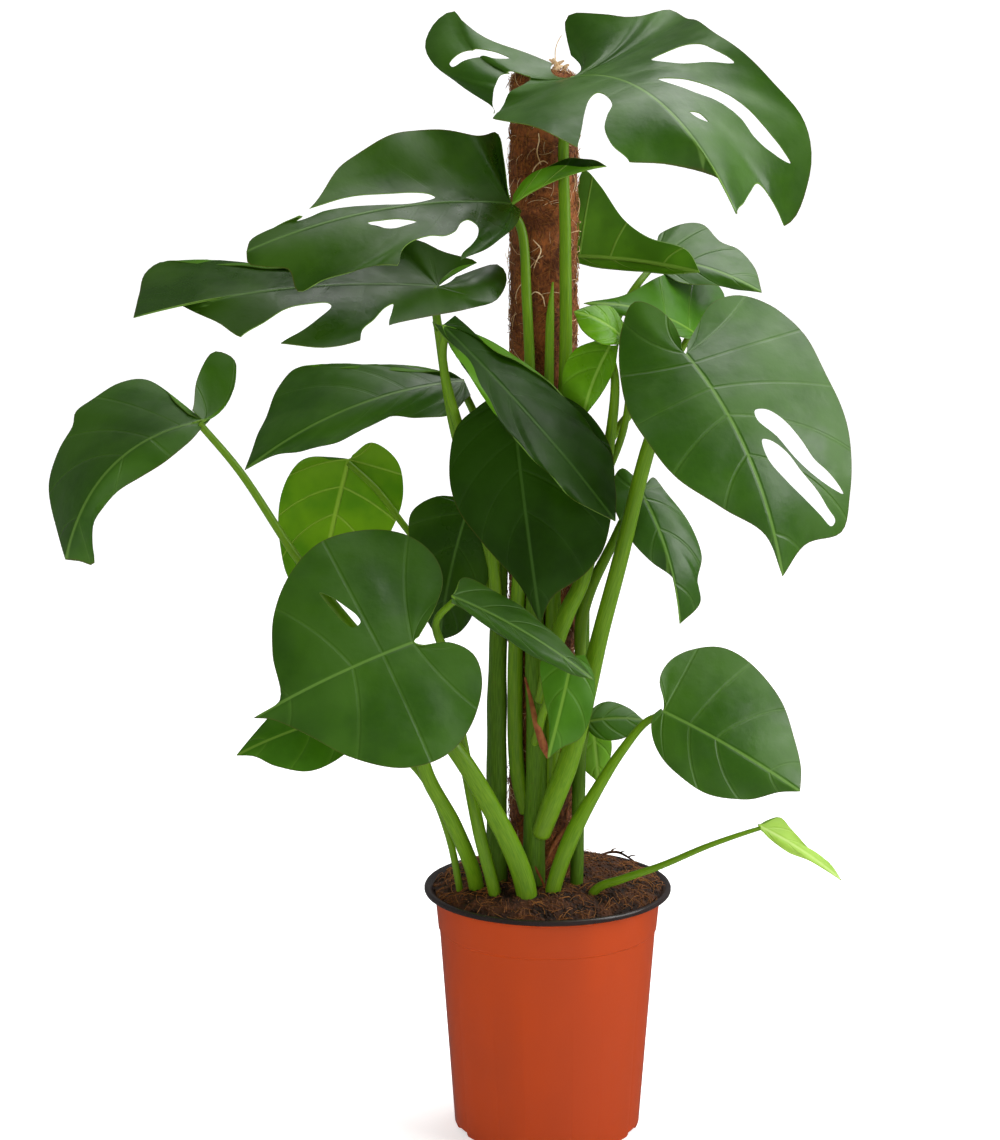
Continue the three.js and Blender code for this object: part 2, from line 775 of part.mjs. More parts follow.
const STALKS = [
  {
    leaf: 'top_right',
    on: 'stem_front',
    points: [
      [3, -36, 290], [3, -37, 430], [5, -36, 560], [12, -34, 640], [12, -34, 760], [11, -35, 850],
    ],
    radii: [6.5, 6.5, 6, 5.5, 4.8, 4.2, 3.2],
  },
  {
    leaf: 'upper_left',
    on: 'stem_front',
    points: [
      [-18, -35, 283], [-26, -31, 320], [-28, -31, 400], [-24, -36, 500], [-17, -42, 600],
      [-16, -42, 640], [-19, -38, 715], [-24, -36, 772],
    ],
    radii: [6, 6.5, 6.5, 6, 5, 4.4, 4.2, 3.8, 3],
  },
  {
    leaf: 'mid_left',
    on: 'stem_left',
    points: [[-40, -18, 470], [-58, -26, 540], [-78, -36, 610], [-90, -48, 690]],
    radii: [5.5, 4.5, 4, 3.6, 2.8],
  },
  {
    leaf: 'far_left',
    seat: { along: 0, drop: 2.6 },
    points: [
      [-16, -66, 175], [-20, -63, 232], [-50, -80, 306], [-82, -95, 362], [-150, -80, 440],
      [-203, -64, 504], [-251, -58, 577],
    ],
    radii: [8, 9, 8, 7, 4.5, 3.6, 3.2, 2.6],
  },
  {
    leaf: 'left_drooping',
    on: 'stem_left',
    points: [[-39, -14, 480], [-38, 14, 540], [-56, 16, 600]],
    radii: [5, 4.2, 3.6, 2.8],
  },
  {
    leaf: 'centre_folded',
    on: 'stem_left',
    points: [[-42, -32, 440], [-50, -38, 530], [-72, -46, 605], [-86, -76, 668]],
    radii: [5.5, 4.5, 4, 3.6, 2.8],
  },
  {
    leaf: 'centre_dark',
    on: 'stem_front',
    points: [[-11, -42, 488], [-20, -57, 530], [-31, -58, 606]],
    radii: [5, 4, 3.4, 2.8],
  },
  {
    leaf: 'right_split',
    on: 'stem_front',
    points: [
      [-8, -54, 268], [3, -57, 300], [14, -56, 329], [23, -53, 360], [32, -49, 397],
      [42, -46, 440], [57, -54, 502], [79, -64, 597], [96, -82, 650],
    ],
    radii: [8, 9, 9, 8.5, 8, 7, 6.5, 6, 4.5, 3.2],
  },
  {
    leaf: 'front_round',
    points: [
      [-59, -36, 175], [-61, -39, 226], [-78, -66, 282], [-101, -92, 336], [-112, -122, 410],
    ],
    radii: [6, 6.5, 6.5, 6, 5, 3.2],
  },
  {
    leaf: 'back_left',
    on: 'stem_back',
    points: [[-2, 37, 360], [-40, 46, 430], [-110, 44, 500], [-146, 52, 545]],
    radii: [4.5, 3.6, 3, 2.8, 2.2],
  },
  {
    leaf: 'low_left',
    points: [[-68, -28, 175], [-84, -44, 270], [-106, -66, 326], [-140, -70, 358]],
    radii: [3.2, 3, 2.6, 2.4, 2],
  },
  {
    leaf: 'behind_left',
    on: 'stem_left',
    points: [[-41, -20, 440], [-52, -6, 485], [-62, 8, 518]],
    radii: [4, 3.4, 3, 2.4],
  },
  {
    leaf: 'centre_edge',
    points: [
      [-38, -52, 175], [-45, -56, 223], [-57, -64, 274], [-70, -70, 345], [-84, -92, 430],
      [-91, -118, 466],
    ],
    radii: [5, 5.5, 5.5, 5, 4, 3, 2.4],
  },
  {
    leaf: 'centre_low',
    on: 'stem_front',
    points: [[-12, -43, 345], [-4, -58, 380], [8, -76, 412]],
    radii: [4, 3.4, 3, 2.4],
  },
  {
    leaf: 'small_right',
    on: 'stem_right',
    points: [[26, -28, 305], [30, -14, 338]],
    radii: [3.2, 2.6, 2],
  },
  {
    leaf: 'small_back',
    points: [[24, 14, 175], [24, 24, 240], [24, 60, 285], [34, 72, 322]],
    radii: [5, 5, 4, 2.2],
  },
  {
    leaf: 'low_right',
    points: [
      [0, -56, 175], [3, -57, 222], [20, -58, 274], [40, -52, 310], [60, -44, 340],
      [82, -36, 364],
    ],
    radii: [6, 6.5, 7, 5, 4, 3.2, 2.6],
  },
  {
    leaf: 'young_rolled',
    seat: { along: 0, drop: 1 },
    points: [
      [30, -48, 175], [38, -53, 222], [62, -62, 236], [92, -69, 249], [130, -76, 268],
      [160, -76, 279],
    ],
    radii: [4, 4, 3.4, 2.8, 2.4, 2, 1.6],
  },
  {
    leaf: 'right_small',
    on: 'stem_right',
    points: [[26, -22, 410], [27, -30, 450], [34, -32, 475], [52, -28, 512], [62, -26, 534]],
    radii: [4.5, 5.5, 5, 4, 3, 2.4],
  },
  {
    leaf: 'back_right_high',
    on: 'stem_back',
    points: [[4, 36, 600], [8, 44, 680], [10, 46, 720]],
    radii: [5, 4.2, 3.6, 2.8],
  },
  {
    leaf: 'back_right_low',
    on: 'stem_back',
    points: [[4, 36, 560], [34, 52, 640], [70, 60, 710]],
    radii: [4.6, 3.8, 3.2, 2.4],
  },
  {
    leaf: 'right_pale',
    on: 'stem_back',
    points: [[4, 36, 520], [60, 38, 600], [104, 36, 655]],
    radii: [4.6, 3.8, 3.2, 2.4],
  },
  {
    leaf: 'young_crumpled',
    on: 'stem_front',
    points: [
      [-8, -48, 382], [-2, -53, 406], [5, -55, 434], [15, -54, 461], [27, -51, 487],
      [44, -47, 570], [52, -56, 650],
    ],
    radii: [4.5, 6, 7, 7, 6.5, 5, 3.6, 2.4],
  },
  {
    leaf: 'young_small',
    on: 'stem_right',
    points: [[30, -12, 530], [60, -44, 610], [62, -62, 662]],
    radii: [3.6, 3, 2.6, 2],
  },
];

// The rolled new leaf that stands on the tip of the front stem.
const SPIKE = {
  points: [[-4, -38, 590.6], [-1, -38, 640], [0, -40, 700], [2, -41, 728]],
  radii: [4, 4, 3.2, 0.8],
};

// The top of a stalk runs in under the start of the midrib, just as far as the blade's middle.
// A stalk that comes in flat lies lower by its radius than one that stands on the blade.
function stalkPoints(stalk, leaf) {
  const frame = bladeFrame(leaf);
  const radius = stalk.radii.at(-1);
  const { along, drop } = stalk.seat ?? { along: 1.5 * radius, drop: GAP };
  const seat = (lean) => place(frame, leaf, along, 0, -radius * lean - drop);
  const heading = seat(1).sub(vec(stalk.points.at(-1))).normalize();
  const lean = Math.sqrt(1 - heading.dot(frame.up) ** 2);
  return [...stalk.points, seat(lean).toArray()];
}

// A tube with its clearance, to be taken off the pieces round it.
function room(points, radii, sides) {
  const wider = radii.map((radius) => radius + GAP);
  return toManifold(tube(points, wider, sides));
}

// The stalk with the room for its blade and its stem taken off.
function fitStalk(points, radii, leaf, stem) {
  const whole = toManifold(tube(points, radii, TUBE.stalkSides));
  const blocks = [bladeShell(leaf, BLADE.thickness + 2 * GAP)];
  if (stem) blocks.push(stem);
  return fromManifold(largest(subtractAll(whole, blocks)));
}

// ---------------------------------------------------------------- pot, soil and pole

// The inside of the pot from its floor to its lip, as [radius, height] pairs.
function cavity() {
  const { height, rimRadius, rimDepth, rimBevel, lip, collarRadius, collarDepth } = POT;
  const { ledgeRadius, ledge, ledgeBevel, footRadius, footBevel, wall, floor } = POT;
  const ledgeZ = height - collarDepth;
  return [
    [footRadius - wall - ledgeBevel, floor],
    [footRadius - wall, floor + footBevel],
    [ledgeRadius - ledge - wall, ledgeZ - 2 * ledgeBevel],
    [ledgeRadius - wall, ledgeZ - ledgeBevel / 2],
    [collarRadius - wall, height - rimDepth],
    [rimRadius - rimBevel - lip, height],
  ];
}

// The outside of the pot from its foot to its rim, as [radius, height] pairs.
function outside() {
  const { height, rimRadius, rimDepth, rimBevel, collarRadius, collarDepth, collarBevel } = POT;
  const { ledgeRadius, ledge, ledgeBevel, footRadius, footBevel } = POT;
  const [rimZ, ledgeZ] = [height - rimDepth, height - collarDepth];
  return [
    [footRadius - footBevel, 0],
    [footRadius, footBevel],
    [ledgeRadius - ledge, ledgeZ - ledgeBevel],
    [ledgeRadius, ledgeZ],
    [collarRadius, rimZ - collarBevel],
    [rimRadius - rimBevel, rimZ],
    [rimRadius, rimZ + rimBevel],
    [rimRadius, height - rimBevel],
    [rimRadius - rimBevel, height],
  ];
}

function pot() {
  const { segments, footRadius, drainSlots, drainWidth, drainHeight, drainDepth } = POT;
  const section = [[0, 0], ...outside(), ...cavity().reverse(), [0, POT.floor]];
  const profile = section.map(([radius, z]) => new THREE.Vector2(radius, z));
  const shell = new THREE.LatheGeometry(profile, segments).rotateX(Math.PI / 2);
  const slots = Array.from({ length: drainSlots }, (_, i) => {
    const slot = new THREE.BoxGeometry(2 * drainDepth, drainWidth, 2 * drainHeight);
    slot.translate(footRadius, 0, 0).rotateZ((TURN * (i + 0.5)) / drainSlots);
    return toManifold(slot);
  });
  return fromManifold(subtractAll(toManifold(shell), slots));
}

// The height of the soil at a share of its radius and an angle: heaped round the stems, with
// a few gentle lumps that die out towards its edge.
function soilHeight(share, angle) {
  const calm = 4 * share * (1 - share);
  const lumps = calm * (Math.sin(3 * angle + 1) + 0.6 * share * Math.sin(7 * angle));
  return SOIL.level + SOIL.mound * (1 - share ** SOIL.steepness) + SOIL.ripple * lumps;
}

function soilBlock() {
  const level = (radius, height) =>
    ring(POT.segments, (angle) =>
      vec([radius * Math.cos(angle), radius * Math.sin(angle), height(angle)]),
    );
  const wall = cavity()
    .slice(0, -1)
    .map(([radius, z]) => [radius - SOIL.clearance, Math.max(z, POT.floor + GAP)]);
  const rings = [
    ...wall.map(([radius, z]) => level(radius, () => z)),
    ...SOIL.shares.map((share) => level(SOIL.edge * share, (angle) => soilHeight(share, angle))),
  ];
  return toManifold(skin(rings, vec([0, 0, wall[0][1]]), vec([0, 0, soilHeight(0, 0)])));
}

// The coir wrap: a bundle of fibre round the stake, slightly uneven, closed over its top.
function coirWrap() {
  const { x, y, radius, shoulder, crown, top, foot, ripple, rings, sides } = POLE;
  const levels = Array.from({ length: rings + 1 }, (_, i) =>
    ring(sides, (angle, j) => {
      const swell = ripple * Math.sin(2.3 * i + 1.7 * j);
      const r = radius + swell - (i === rings ? shoulder : 0);
      return vec([x + r * Math.cos(angle), y + r * Math.sin(angle), lerp(foot, top, i / rings)]);
    }),
  );
  const wrap = toManifold(skin(levels, vec([x, y, foot]), vec([x, y, top + crown])));
  const socket = toManifold(post(STAKE.radius + GAP, STAKE.foot, STAKE.top + GAP));
  return fromManifold(wrap.subtract(socket));
}

// An upright post on the pole's axis.
function post(radius, low, high) {
  const body = new THREE.CylinderGeometry(radius, radius, high - low, STAKE.sides);
  return body.rotateX(Math.PI / 2).translate(POLE.x, POLE.y, (low + high) / 2);
}

// ---------------------------------------------------------------- assembly

const plant = new THREE.Group();
plant.name = 'potted_monstera';

function add(name, geometry, material) {
  const mesh = new THREE.Mesh(geometry, material);
  mesh.name = name;
  plant.add(mesh);
}

const stemRooms = new Map();
for (const { name, points, radii } of STEMS) {
  stemRooms.set(name, room(points, radii, TUBE.stemSides));
  add(name, tube(points, radii, TUBE.stemSides), finish(COLOUR.stem, ROUGHNESS.stalk));
}

const rooted = [...stemRooms.values()];
for (const stalk of STALKS) {
  const leaf = LEAVES.find(({ name }) => name === stalk.leaf);
  const points = stalkPoints(stalk, leaf);
  const fitted = fitStalk(points, stalk.radii, leaf, stemRooms.get(stalk.on));
  if (!stalk.on) rooted.push(room(points, stalk.radii, TUBE.stalkSides));
  add(`stalk_${leaf.name}`, fitted, finish(COLOUR.stalk, ROUGHNESS.stalk));
}

const spike = tube(SPIKE.points, SPIKE.radii, TUBE.stalkSides);
add('new_leaf_spike', spike, finish(COLOUR.leafPale, ROUGHNESS.leaf));

for (const leaf of LEAVES) {
  const colour = leaf.pale ? COLOUR.leafPale : COLOUR.leaf;
  add(`leaf_${leaf.name}`, blade(leaf), finish(colour, ROUGHNESS.leaf));
}

// The pole's hole has flat sides, and it is as wide between them as the wrap with its clearance.
const coirRadius = (POLE.radius + POLE.ripple + GAP) / Math.cos(Math.PI / STAKE.sides);
const poleHole = toManifold(post(coirRadius, POLE.foot - GAP, POLE.top));
const stakeHole = toManifold(post(STAKE.radius + GAP, STAKE.foot - GAP, POLE.foot));
const soil = subtractAll(soilBlock(), [...rooted, poleHole, stakeHole]);

add('pot', pot(), finish(COLOUR.pot, ROUGHNESS.pot));
add('soil', fromManifold(soil), finish(COLOUR.soil, ROUGHNESS.soil));
add('pole_coir', coirWrap(), finish(COLOUR.coir, ROUGHNESS.coir));
const stake = post(STAKE.radius, STAKE.foot, STAKE.top);
add('pole_stake', stake, finish(COLOUR.timber, ROUGHNESS.timber));

export default plant;
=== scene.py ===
"""Looks of a climbing split-leaf plant on a coir pole, in a nursery pot of soil.

The tables give millimetres, as the solids' source does, and the meshes are metres. Front is -Y,
right is +X and up is +Z. A blade lies on a bent plane between its base, where the stalk joins,
and its tip. Its margin points are (along the midrib, out from it, lift), from the notch at the
stalk round the lobe to the tip.
"""

import logging
import math
from dataclasses import dataclass, field
from enum import Enum
from typing import Sequence

import bmesh
import bpy
import numpy as np
from mathutils import Matrix, Vector, noise


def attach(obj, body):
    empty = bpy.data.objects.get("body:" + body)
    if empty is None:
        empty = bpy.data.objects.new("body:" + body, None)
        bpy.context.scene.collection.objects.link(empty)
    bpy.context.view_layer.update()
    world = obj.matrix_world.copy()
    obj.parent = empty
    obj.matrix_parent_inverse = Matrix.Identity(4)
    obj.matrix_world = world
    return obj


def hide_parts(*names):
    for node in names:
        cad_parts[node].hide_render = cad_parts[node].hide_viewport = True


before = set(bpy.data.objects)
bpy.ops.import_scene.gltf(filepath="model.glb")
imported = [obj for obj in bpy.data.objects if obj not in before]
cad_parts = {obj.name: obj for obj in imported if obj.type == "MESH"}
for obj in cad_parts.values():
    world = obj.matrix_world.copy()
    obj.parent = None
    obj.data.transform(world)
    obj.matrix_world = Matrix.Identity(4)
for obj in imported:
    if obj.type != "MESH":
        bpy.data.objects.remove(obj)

log = logging.getLogger("plant")

MM = 0.001
NO_LENGTH = 1e-9
NO_DISTANCE = 1e-6

Point = tuple[float, float, float]
Colour = tuple[float, float, float, float]
Span = tuple[float, float]
Face = tuple[int, ...]


def paint(code: str) -> Colour:
    """The scene-linear colour of a six-digit screen colour such as "3f6b2a".

    Args:
        code: Two digits each for red, green and blue.

    Returns:
        The colour, with its alpha.
    """
    shares = [int(code[i : i + 2], 16) / 255 for i in (0, 2, 4)]
    linear = [s / 12.92 if s <= 0.04045 else ((s + 0.055) / 1.055) ** 2.4 for s in shares]
    return (linear[0], linear[1], linear[2], 1.0)


# ---------------------------------------------------------------- curves and meshes


def unit(vector: np.ndarray) -> np.ndarray:
    """The vector at length one."""
    return vector / max(np.linalg.norm(vector), NO_LENGTH)


def turns(sides: int) -> list[float]:
    """The angles of the points in a ring."""
    return [2 * math.pi * j / sides for j in range(sides)]


def polar(angle: float, radius: float, height: float) -> Point:
    """The point at an angle round the upright axis."""
    return (radius * math.cos(angle), radius * math.sin(angle), height)


def ring_faces(
    first: int, sides: int, rings: int, ends: tuple[int, int], turned: bool = False
) -> list[Face]:
    """Joins rings of points, and closes them at both ends.

    Args:
        first: The first ring's first point.
        sides: How many points a ring has.
        rings: How many rings there are.
        ends: The middle points that close the first and the last ring.
        turned: Whether the faces look the other way.

    Returns:
        The faces: for each side its two end triangles, then its quads along the rings.
    """
    last = first + (rings - 1) * sides
    faces = []
    for j in range(sides):
        k = (j + 1) % sides
        faces += [(ends[0], first + j, first + k), (ends[1], last + k, last + j)]
        for row in range(first, last, sides):
            faces.append((row + j, row + sides + j, row + sides + k, row + k))
    return [(face[0], *face[:0:-1]) for face in faces] if turned else faces


class Curve:
    """A smooth curve through points, with tighter turns where the points are close."""

    def __init__(self, points: Sequence[Point]) -> None:
        """Sets up one cubic for each span.

        Args:
            points: What the curve passes through, two or more.
        """
        own = np.array(points, float)
        full = np.vstack([2 * own[0] - own[1], own, 2 * own[-1] - own[-2]])
        a, b, c, d = full[:-3], full[1:-2], full[2:-1], full[3:]
        before, span, after = (
            np.sqrt(np.maximum(np.linalg.norm(q - p, axis=1), NO_DISTANCE))[:, None]
            for p, q in ((a, b), (b, c), (c, d))
        )
        out = ((b - a) / before - (c - a) / (before + span) + (c - b) / span) * span
        home = ((c - b) / span - (d - b) / (span + after) + (d - c) / after) * span
        self.terms = (b, out, -3 * b + 3 * c - 2 * out - home, 2 * b - 2 * c + out + home)
        self.spans = len(own) - 1

    def at(self, shares: np.ndarray) -> np.ndarray:
        """The points at shares of the spans, from 0 to 1.

        Args:
            shares: Where along the spans.

        Returns:
            The points.
        """
        place = np.clip(np.asarray(shares, float), 0, 1) * self.spans
        span = np.minimum(place.astype(int), self.spans - 1)
        w = (place - span)[:, None]
        c0, c1, c2, c3 = (term[span] for term in self.terms)
        return c0 + w * (c1 + w * (c2 + w * c3))

    def walked(self, shares: np.ndarray) -> np.ndarray:
        """How far along the curve each of its points at rising shares lies."""
        steps = np.linalg.norm(np.diff(self.at(shares), axis=0), axis=1)
        return np.concatenate([[0], np.cumsum(steps)])

    def spaced(self, shares: np.ndarray, steps: int = 200) -> np.ndarray:
        """The points at shares of the curve's length.

        Args:
            shares: Where along the length.
            steps: How many steps measure the length.

        Returns:
            The points.
        """
        places = np.linspace(0, 1, steps + 1)
        lengths = self.walked(places)
        return self.at(np.interp(np.asarray(shares) * lengths[-1], lengths, places))


@dataclass
class Sheet:
    """Points, faces and what the faces carry, before they become a mesh.

    A layer holds two numbers for each point, which a material reads as a UV map.
    """

    points: np.ndarray
    faces: list[Face]
    slots: list[int] | None = None
    layers: dict[str, np.ndarray] = field(default_factory=dict)


def sharpen(mesh: bpy.types.Mesh, crease: float) -> None:
    """Leaves the edges sharp that bend more than a crease in degrees."""
    mesh.set_sharp_from_angle(angle=math.radians(crease))


def make_piece(
    name: str, sheet: Sheet, materials: Sequence[bpy.types.Material], crease: float = 40
) -> bpy.types.Object:
    """Turns a sheet into an object with its place in its mesh.

    Args:
        name: The piece's name.
        sheet: Its points in millimetres, and its faces.
        materials: One for each slot that the faces name.
        crease: Edges that bend more than this many degrees stay sharp.

    Returns:
        The linked object.
    """
    mesh = bpy.data.meshes.new(name)
    mesh.from_pydata((sheet.points * MM).tolist(), [], sheet.faces)
    for material in materials:
        mesh.materials.append(material)
    if sheet.slots is not None:
        mesh.polygons.foreach_set("material_index", np.array(sheet.slots, np.int32))
    loops = np.zeros(len(mesh.loops), np.int32)
    mesh.loops.foreach_get("vertex_index", loops)
    for layer, values in sheet.layers.items():
        uv = mesh.uv_layers.new(name=layer)
        uv.uv.foreach_set("vector", np.asarray(values, np.float32)[loops].ravel())
    mesh.validate()
    mesh.shade_smooth()
    sharpen(mesh, crease)
    piece = bpy.data.objects.new(name, mesh)
    bpy.context.scene.collection.objects.link(piece)
    return piece


def settle(piece: bpy.types.Object) -> None:
    """Turns a piece's modifiers into plain mesh, and takes them off.

    Args:
        piece: The object with its modifiers.
    """
    graph = bpy.context.evaluated_depsgraph_get()
    mesh = bpy.data.meshes.new_from_object(piece.evaluated_get(graph), depsgraph=graph)
    piece.modifiers.clear()
    old = piece.data
    piece.data = mesh
    mesh.name = piece.name
    bpy.data.meshes.remove(old)


def cut_away(piece: bpy.types.Object, tools: Sequence[bpy.types.Object]) -> None:
    """Cuts tools out of a closed piece and removes them.

    Args:
        piece: What is cut.
        tools: Closed objects that mark the room to cut.
    """
    for tool in tools:
        cut = piece.modifiers.new("cut", "BOOLEAN")
        cut.operation = "DIFFERENCE"
        cut.solver = "MANIFOLD"
        cut.object = tool
    settle(piece)
    for tool in tools:
        bpy.data.objects.remove(tool)


def drop_scraps(piece: bpy.types.Object) -> None:
    """Takes off every part of a piece that is loose from its largest one.

    Args:
        piece: The object.
    """
    shape = bmesh.new()
    shape.from_mesh(piece.data)
    left = set(shape.verts)
    islands = []
    while left:
        island, edge = set(), {left.pop()}
        while edge:
            island |= edge
            edge = {e.other_vert(v) for v in edge for e in v.link_edges} - island
        left -= island
        islands.append(island)
    islands.sort(key=len)
    loose = [vert for island in islands[:-1] for vert in island]
    bmesh.ops.delete(shape, geom=loose, context="VERTS")
    shape.to_mesh(piece.data)
    shape.free()


def join(piece: bpy.types.Object, other: bpy.types.Object) -> None:
    """Adds another object's mesh, with the same material slots, to a piece."""
    with bpy.context.temp_override(active_object=piece, selected_editable_objects=[piece, other]):
        bpy.ops.object.join()


def hand_over(piece: bpy.types.Object, slot: str, *nodes: str) -> None:
    """Lets a piece ride on the one body, and hides the solids that it stands for.

    Args:
        piece: The finished object.
        slot: The record's material slot. Not used.
        nodes: The solids that it replaces, if any.
    """
    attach(piece, "root")
    if nodes:
        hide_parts(*nodes)
    log.info("%s: %d faces", piece.name, len(piece.data.polygons))


# ---------------------------------------------------------------- node trees

Socket = bpy.types.NodeSocket
Feed = float | Point | Colour | Socket
Feeds = dict[str | int, Feed | bpy.types.Material]

# The Mix node's colour sockets share their names with its other sockets, so they go by number.
MIX_SHARE, MIX_LOW, MIX_HIGH, MIX_RESULT = 0, 6, 7, 2
GLOSS = "Specular IOR Level"


class Tree:
    """A node tree, with one way to add its nodes and links."""

    def __init__(self, tree: bpy.types.NodeTree) -> None:
        """Takes a tree to fill."""
        self.tree = tree

    def add(self, kind: str, feeds: Feeds, **settings: object) -> bpy.types.Node:
        """Adds a node.

        Args:
            kind: The node's type.
            feeds: A value or a socket for each input's name or number.
            settings: The node's own settings.

        Returns:
            The node.
        """
        node = self.tree.nodes.new(kind)
        for key, value in settings.items():
            setattr(node, key, value)
        for key, value in feeds.items():
            if isinstance(value, Socket):
                self.tree.links.new(value, node.inputs[key])
            else:
                node.inputs[key].default_value = value
        return node


class Graph(Tree):
    """A material's node tree, with short ways to add the nodes that the finishes use."""

    def __init__(self, name: str) -> None:
        """Starts an empty material.

        Args:
            name: The material's name.
        """
        self.material = bpy.data.materials.new(name)
        self.material.use_nodes = True
        super().__init__(self.material.node_tree)
        self.tree.nodes.clear()

    def add(self, kind: str, feeds: Feeds, **settings: object) -> bpy.types.Node:
        """Adds a node, its type given without "ShaderNode"."""
        return super().add("ShaderNode" + kind, feeds, **settings)

    def mix(self, share: Feed, low: Feed, high: Feed) -> Socket:
        """The colour between low and high at a share."""
        feeds = {MIX_SHARE: share, MIX_LOW: low, MIX_HIGH: high}
        return self.add("Mix", feeds, data_type="RGBA").outputs[MIX_RESULT]

    def sum(self, kind: str, first: Feed, second: Feed) -> Socket:
        """A sum of two numbers, of a kind such as ADD or MULTIPLY."""
        return self.add("Math", {0: first, 1: second}, operation=kind).outputs[0]

    def mean(self, first: Feed, second: Feed) -> Socket:
        """The number halfway between two."""
        low, high = (self.sum("MULTIPLY", value, 0.5) for value in (first, second))
        return self.sum("ADD", low, high)

    def fade(
        self, value: Feed, start: float, end: float, low: float = 0.0, high: float = 1.0
    ) -> Socket:
        """A soft step from low at start to high at end."""
        ends = {"Value": value, "From Min": start, "From Max": end, "To Min": low, "To Max": high}
        return self.add("MapRange", ends, interpolation_type="SMOOTHSTEP").outputs[0]

    def line(self, distance: Feed, width: Span, share: float = 1.0) -> Socket:
        """A share that is whole up to the first of two distances, and gone at the second."""
        return self.fade(distance, width[1], width[0], 0.0, share)

    def clouds(
        self, scale: float, stretch: Point = (1, 1, 1), detail: float = 3, layer: str = ""
    ) -> Socket:
        """Soft random patches, from about 0.3 to 0.7.

        Args:
            scale: Patches to a metre, or to a unit of the layer.
            stretch: How much finer the pattern is along each axis.
            detail: How many finer patterns lie in it.
            layer: The UV map to follow, or none for the object's own space.

        Returns:
            The pattern's socket.
        """
        if layer:
            source = self.add("UVMap", {}, uv_map=layer).outputs[0]
        else:
            source = self.add("TexCoord", {}).outputs["Object"]
        spot = self.add("Mapping", {"Vector": source, "Scale": stretch}).outputs[0]
        return self.add("TexNoise", {"Vector": spot, "Scale": scale, "Detail": detail}).outputs[0]

    def layer(self, name: str) -> tuple[Socket, Socket]:
        """The two numbers that a layer carries.

        Args:
            name: The layer's name.

        Returns:
            The two numbers' sockets.
        """
        source = self.add("UVMap", {}, uv_map=name).outputs[0]
        parts = self.add("SeparateXYZ", {"Vector": source})
        return parts.outputs[0], parts.outputs[1]

    def bump(
        self, height: Feed, depth: float, strength: float = 1.0, over: Feed | None = None
    ) -> Socket:
        """A relief of a depth in metres, over another one if given.

        Args:
            height: The pattern.
            depth: How high the pattern stands.
            strength: How much of it shows.
            over: The other relief's normal, or none.

        Returns:
            The relief's normal.
        """
        feeds = {"Height": height, "Distance": depth, "Strength": strength}
        if over is not None:
            feeds["Normal"] = over
        return self.add("Bump", feeds).outputs[0]

    def surface(self, feeds: Feeds) -> bpy.types.Material:
        """Closes the material with its surface, and gives it back.

        Args:
            feeds: The surface's inputs.

        Returns:
            The material.
        """
        shader = self.add("BsdfPrincipled", feeds).outputs[0]
        self.add("OutputMaterial", {"Surface": shader})
        return self.material


# ---------------------------------------------------------------- finishes
#
# A scale is patches to a metre, a depth is metres, and a width is two distances in millimetres
# from a line: up to where the line is whole, and where it ends. A range is the two values of a
# pattern between which its colour changes.


class Tone(Enum):
    """How light and yellow a leaf's upper face is. The shaded tone is painted shade: a darker copy
    of the face for leaves in the shadow of the leaves above. The deep tone is partly a darker leaf
    and partly painted shade.
    """

    DARK = "dark"
    DEEP_SHADED = "deep"
    FULL = "full"
    FRESH = "fresh"
    YOUNG = "young"
    PALE = "pale"


@dataclass(frozen=True)
class LeafFace:
    """The upper face of a blade: waxy green with paler veins in shallow grooves."""

    name: str
    dark: str
    light: str
    vein: str
    roughness: float = 0.36
    gloss: float = 0.2
    vein_share: float = 0.13
    halo_weakness: float = 3
    rib_share: float = 0.5
    rim: str = "4a4416"
    rim_share: float = 0.5
    fleck_share: float = 0.16
    cloud_scale: float = 16
    pucker_scale: float = 52
    grain_scale: float = 260
    cloud_range: Span = (0.36, 0.64)
    fleck_range: Span = (0.35, 0.7)
    sheen_range: Span = (0.38, 0.62)
    smoother: float = 0.08
    rougher: float = 0.12
    vein_width: Span = (0.2, 0.9)
    halo_width: Span = (0.5, 6.0)
    rib_width: Span = (0.6, 1.7)
    rim_width: Span = (0.3, 1.0)
    vein_groove: Span = (0.2, 2.2)
    rib_groove: Span = (0.4, 3.0)
    groove_depth: float = 0.00035
    pucker_depth: float = 0.0012
    grain_depth: float = 0.0001
    relief: float = 0.5

    def build(self) -> bpy.types.Material:
        """Makes the material.

        Returns:
            The material.
        """
        g = Graph(self.name)
        vein, rib = g.layer("veins")
        rim, _ = g.layer("margin")
        cloud = g.clouds(self.cloud_scale, detail=4)
        pucker = g.clouds(self.pucker_scale)
        fine = g.clouds(self.grain_scale, detail=2)
        base = g.mix(g.fade(cloud, *self.cloud_range), paint(self.dark), paint(self.light))
        fleck = g.fade(fine, *self.fleck_range, 0.0, self.fleck_share)
        base = g.mix(fleck, base, paint(self.light))
        line = g.line(vein, self.vein_width, self.vein_share)
        halo = g.line(vein, self.halo_width, self.vein_share / self.halo_weakness)
        spine = g.line(rib, self.rib_width, self.rib_share)
        veins = g.sum("MAXIMUM", g.sum("MAXIMUM", line, halo), spine)
        base = g.mix(veins, base, paint(self.vein))
        base = g.mix(g.line(rim, self.rim_width, self.rim_share), base, paint(self.rim))
        low = g.sum("MAXIMUM", g.line(vein, self.vein_groove), g.line(rib, self.rib_groove))
        grooves = g.bump(g.sum("SUBTRACT", 1.0, low), self.groove_depth)
        swells = g.bump(pucker, self.pucker_depth, self.relief, grooves)
        normal = g.bump(fine, self.grain_depth, self.relief, swells)
        limits = (self.roughness - self.smoother, self.roughness + self.rougher)
        rough = g.fade(g.mean(cloud, pucker), *self.sheen_range, *limits)
        feeds = {"Base Color": base, "Roughness": rough, "Normal": normal, GLOSS: self.gloss}
        return g.surface(feeds)


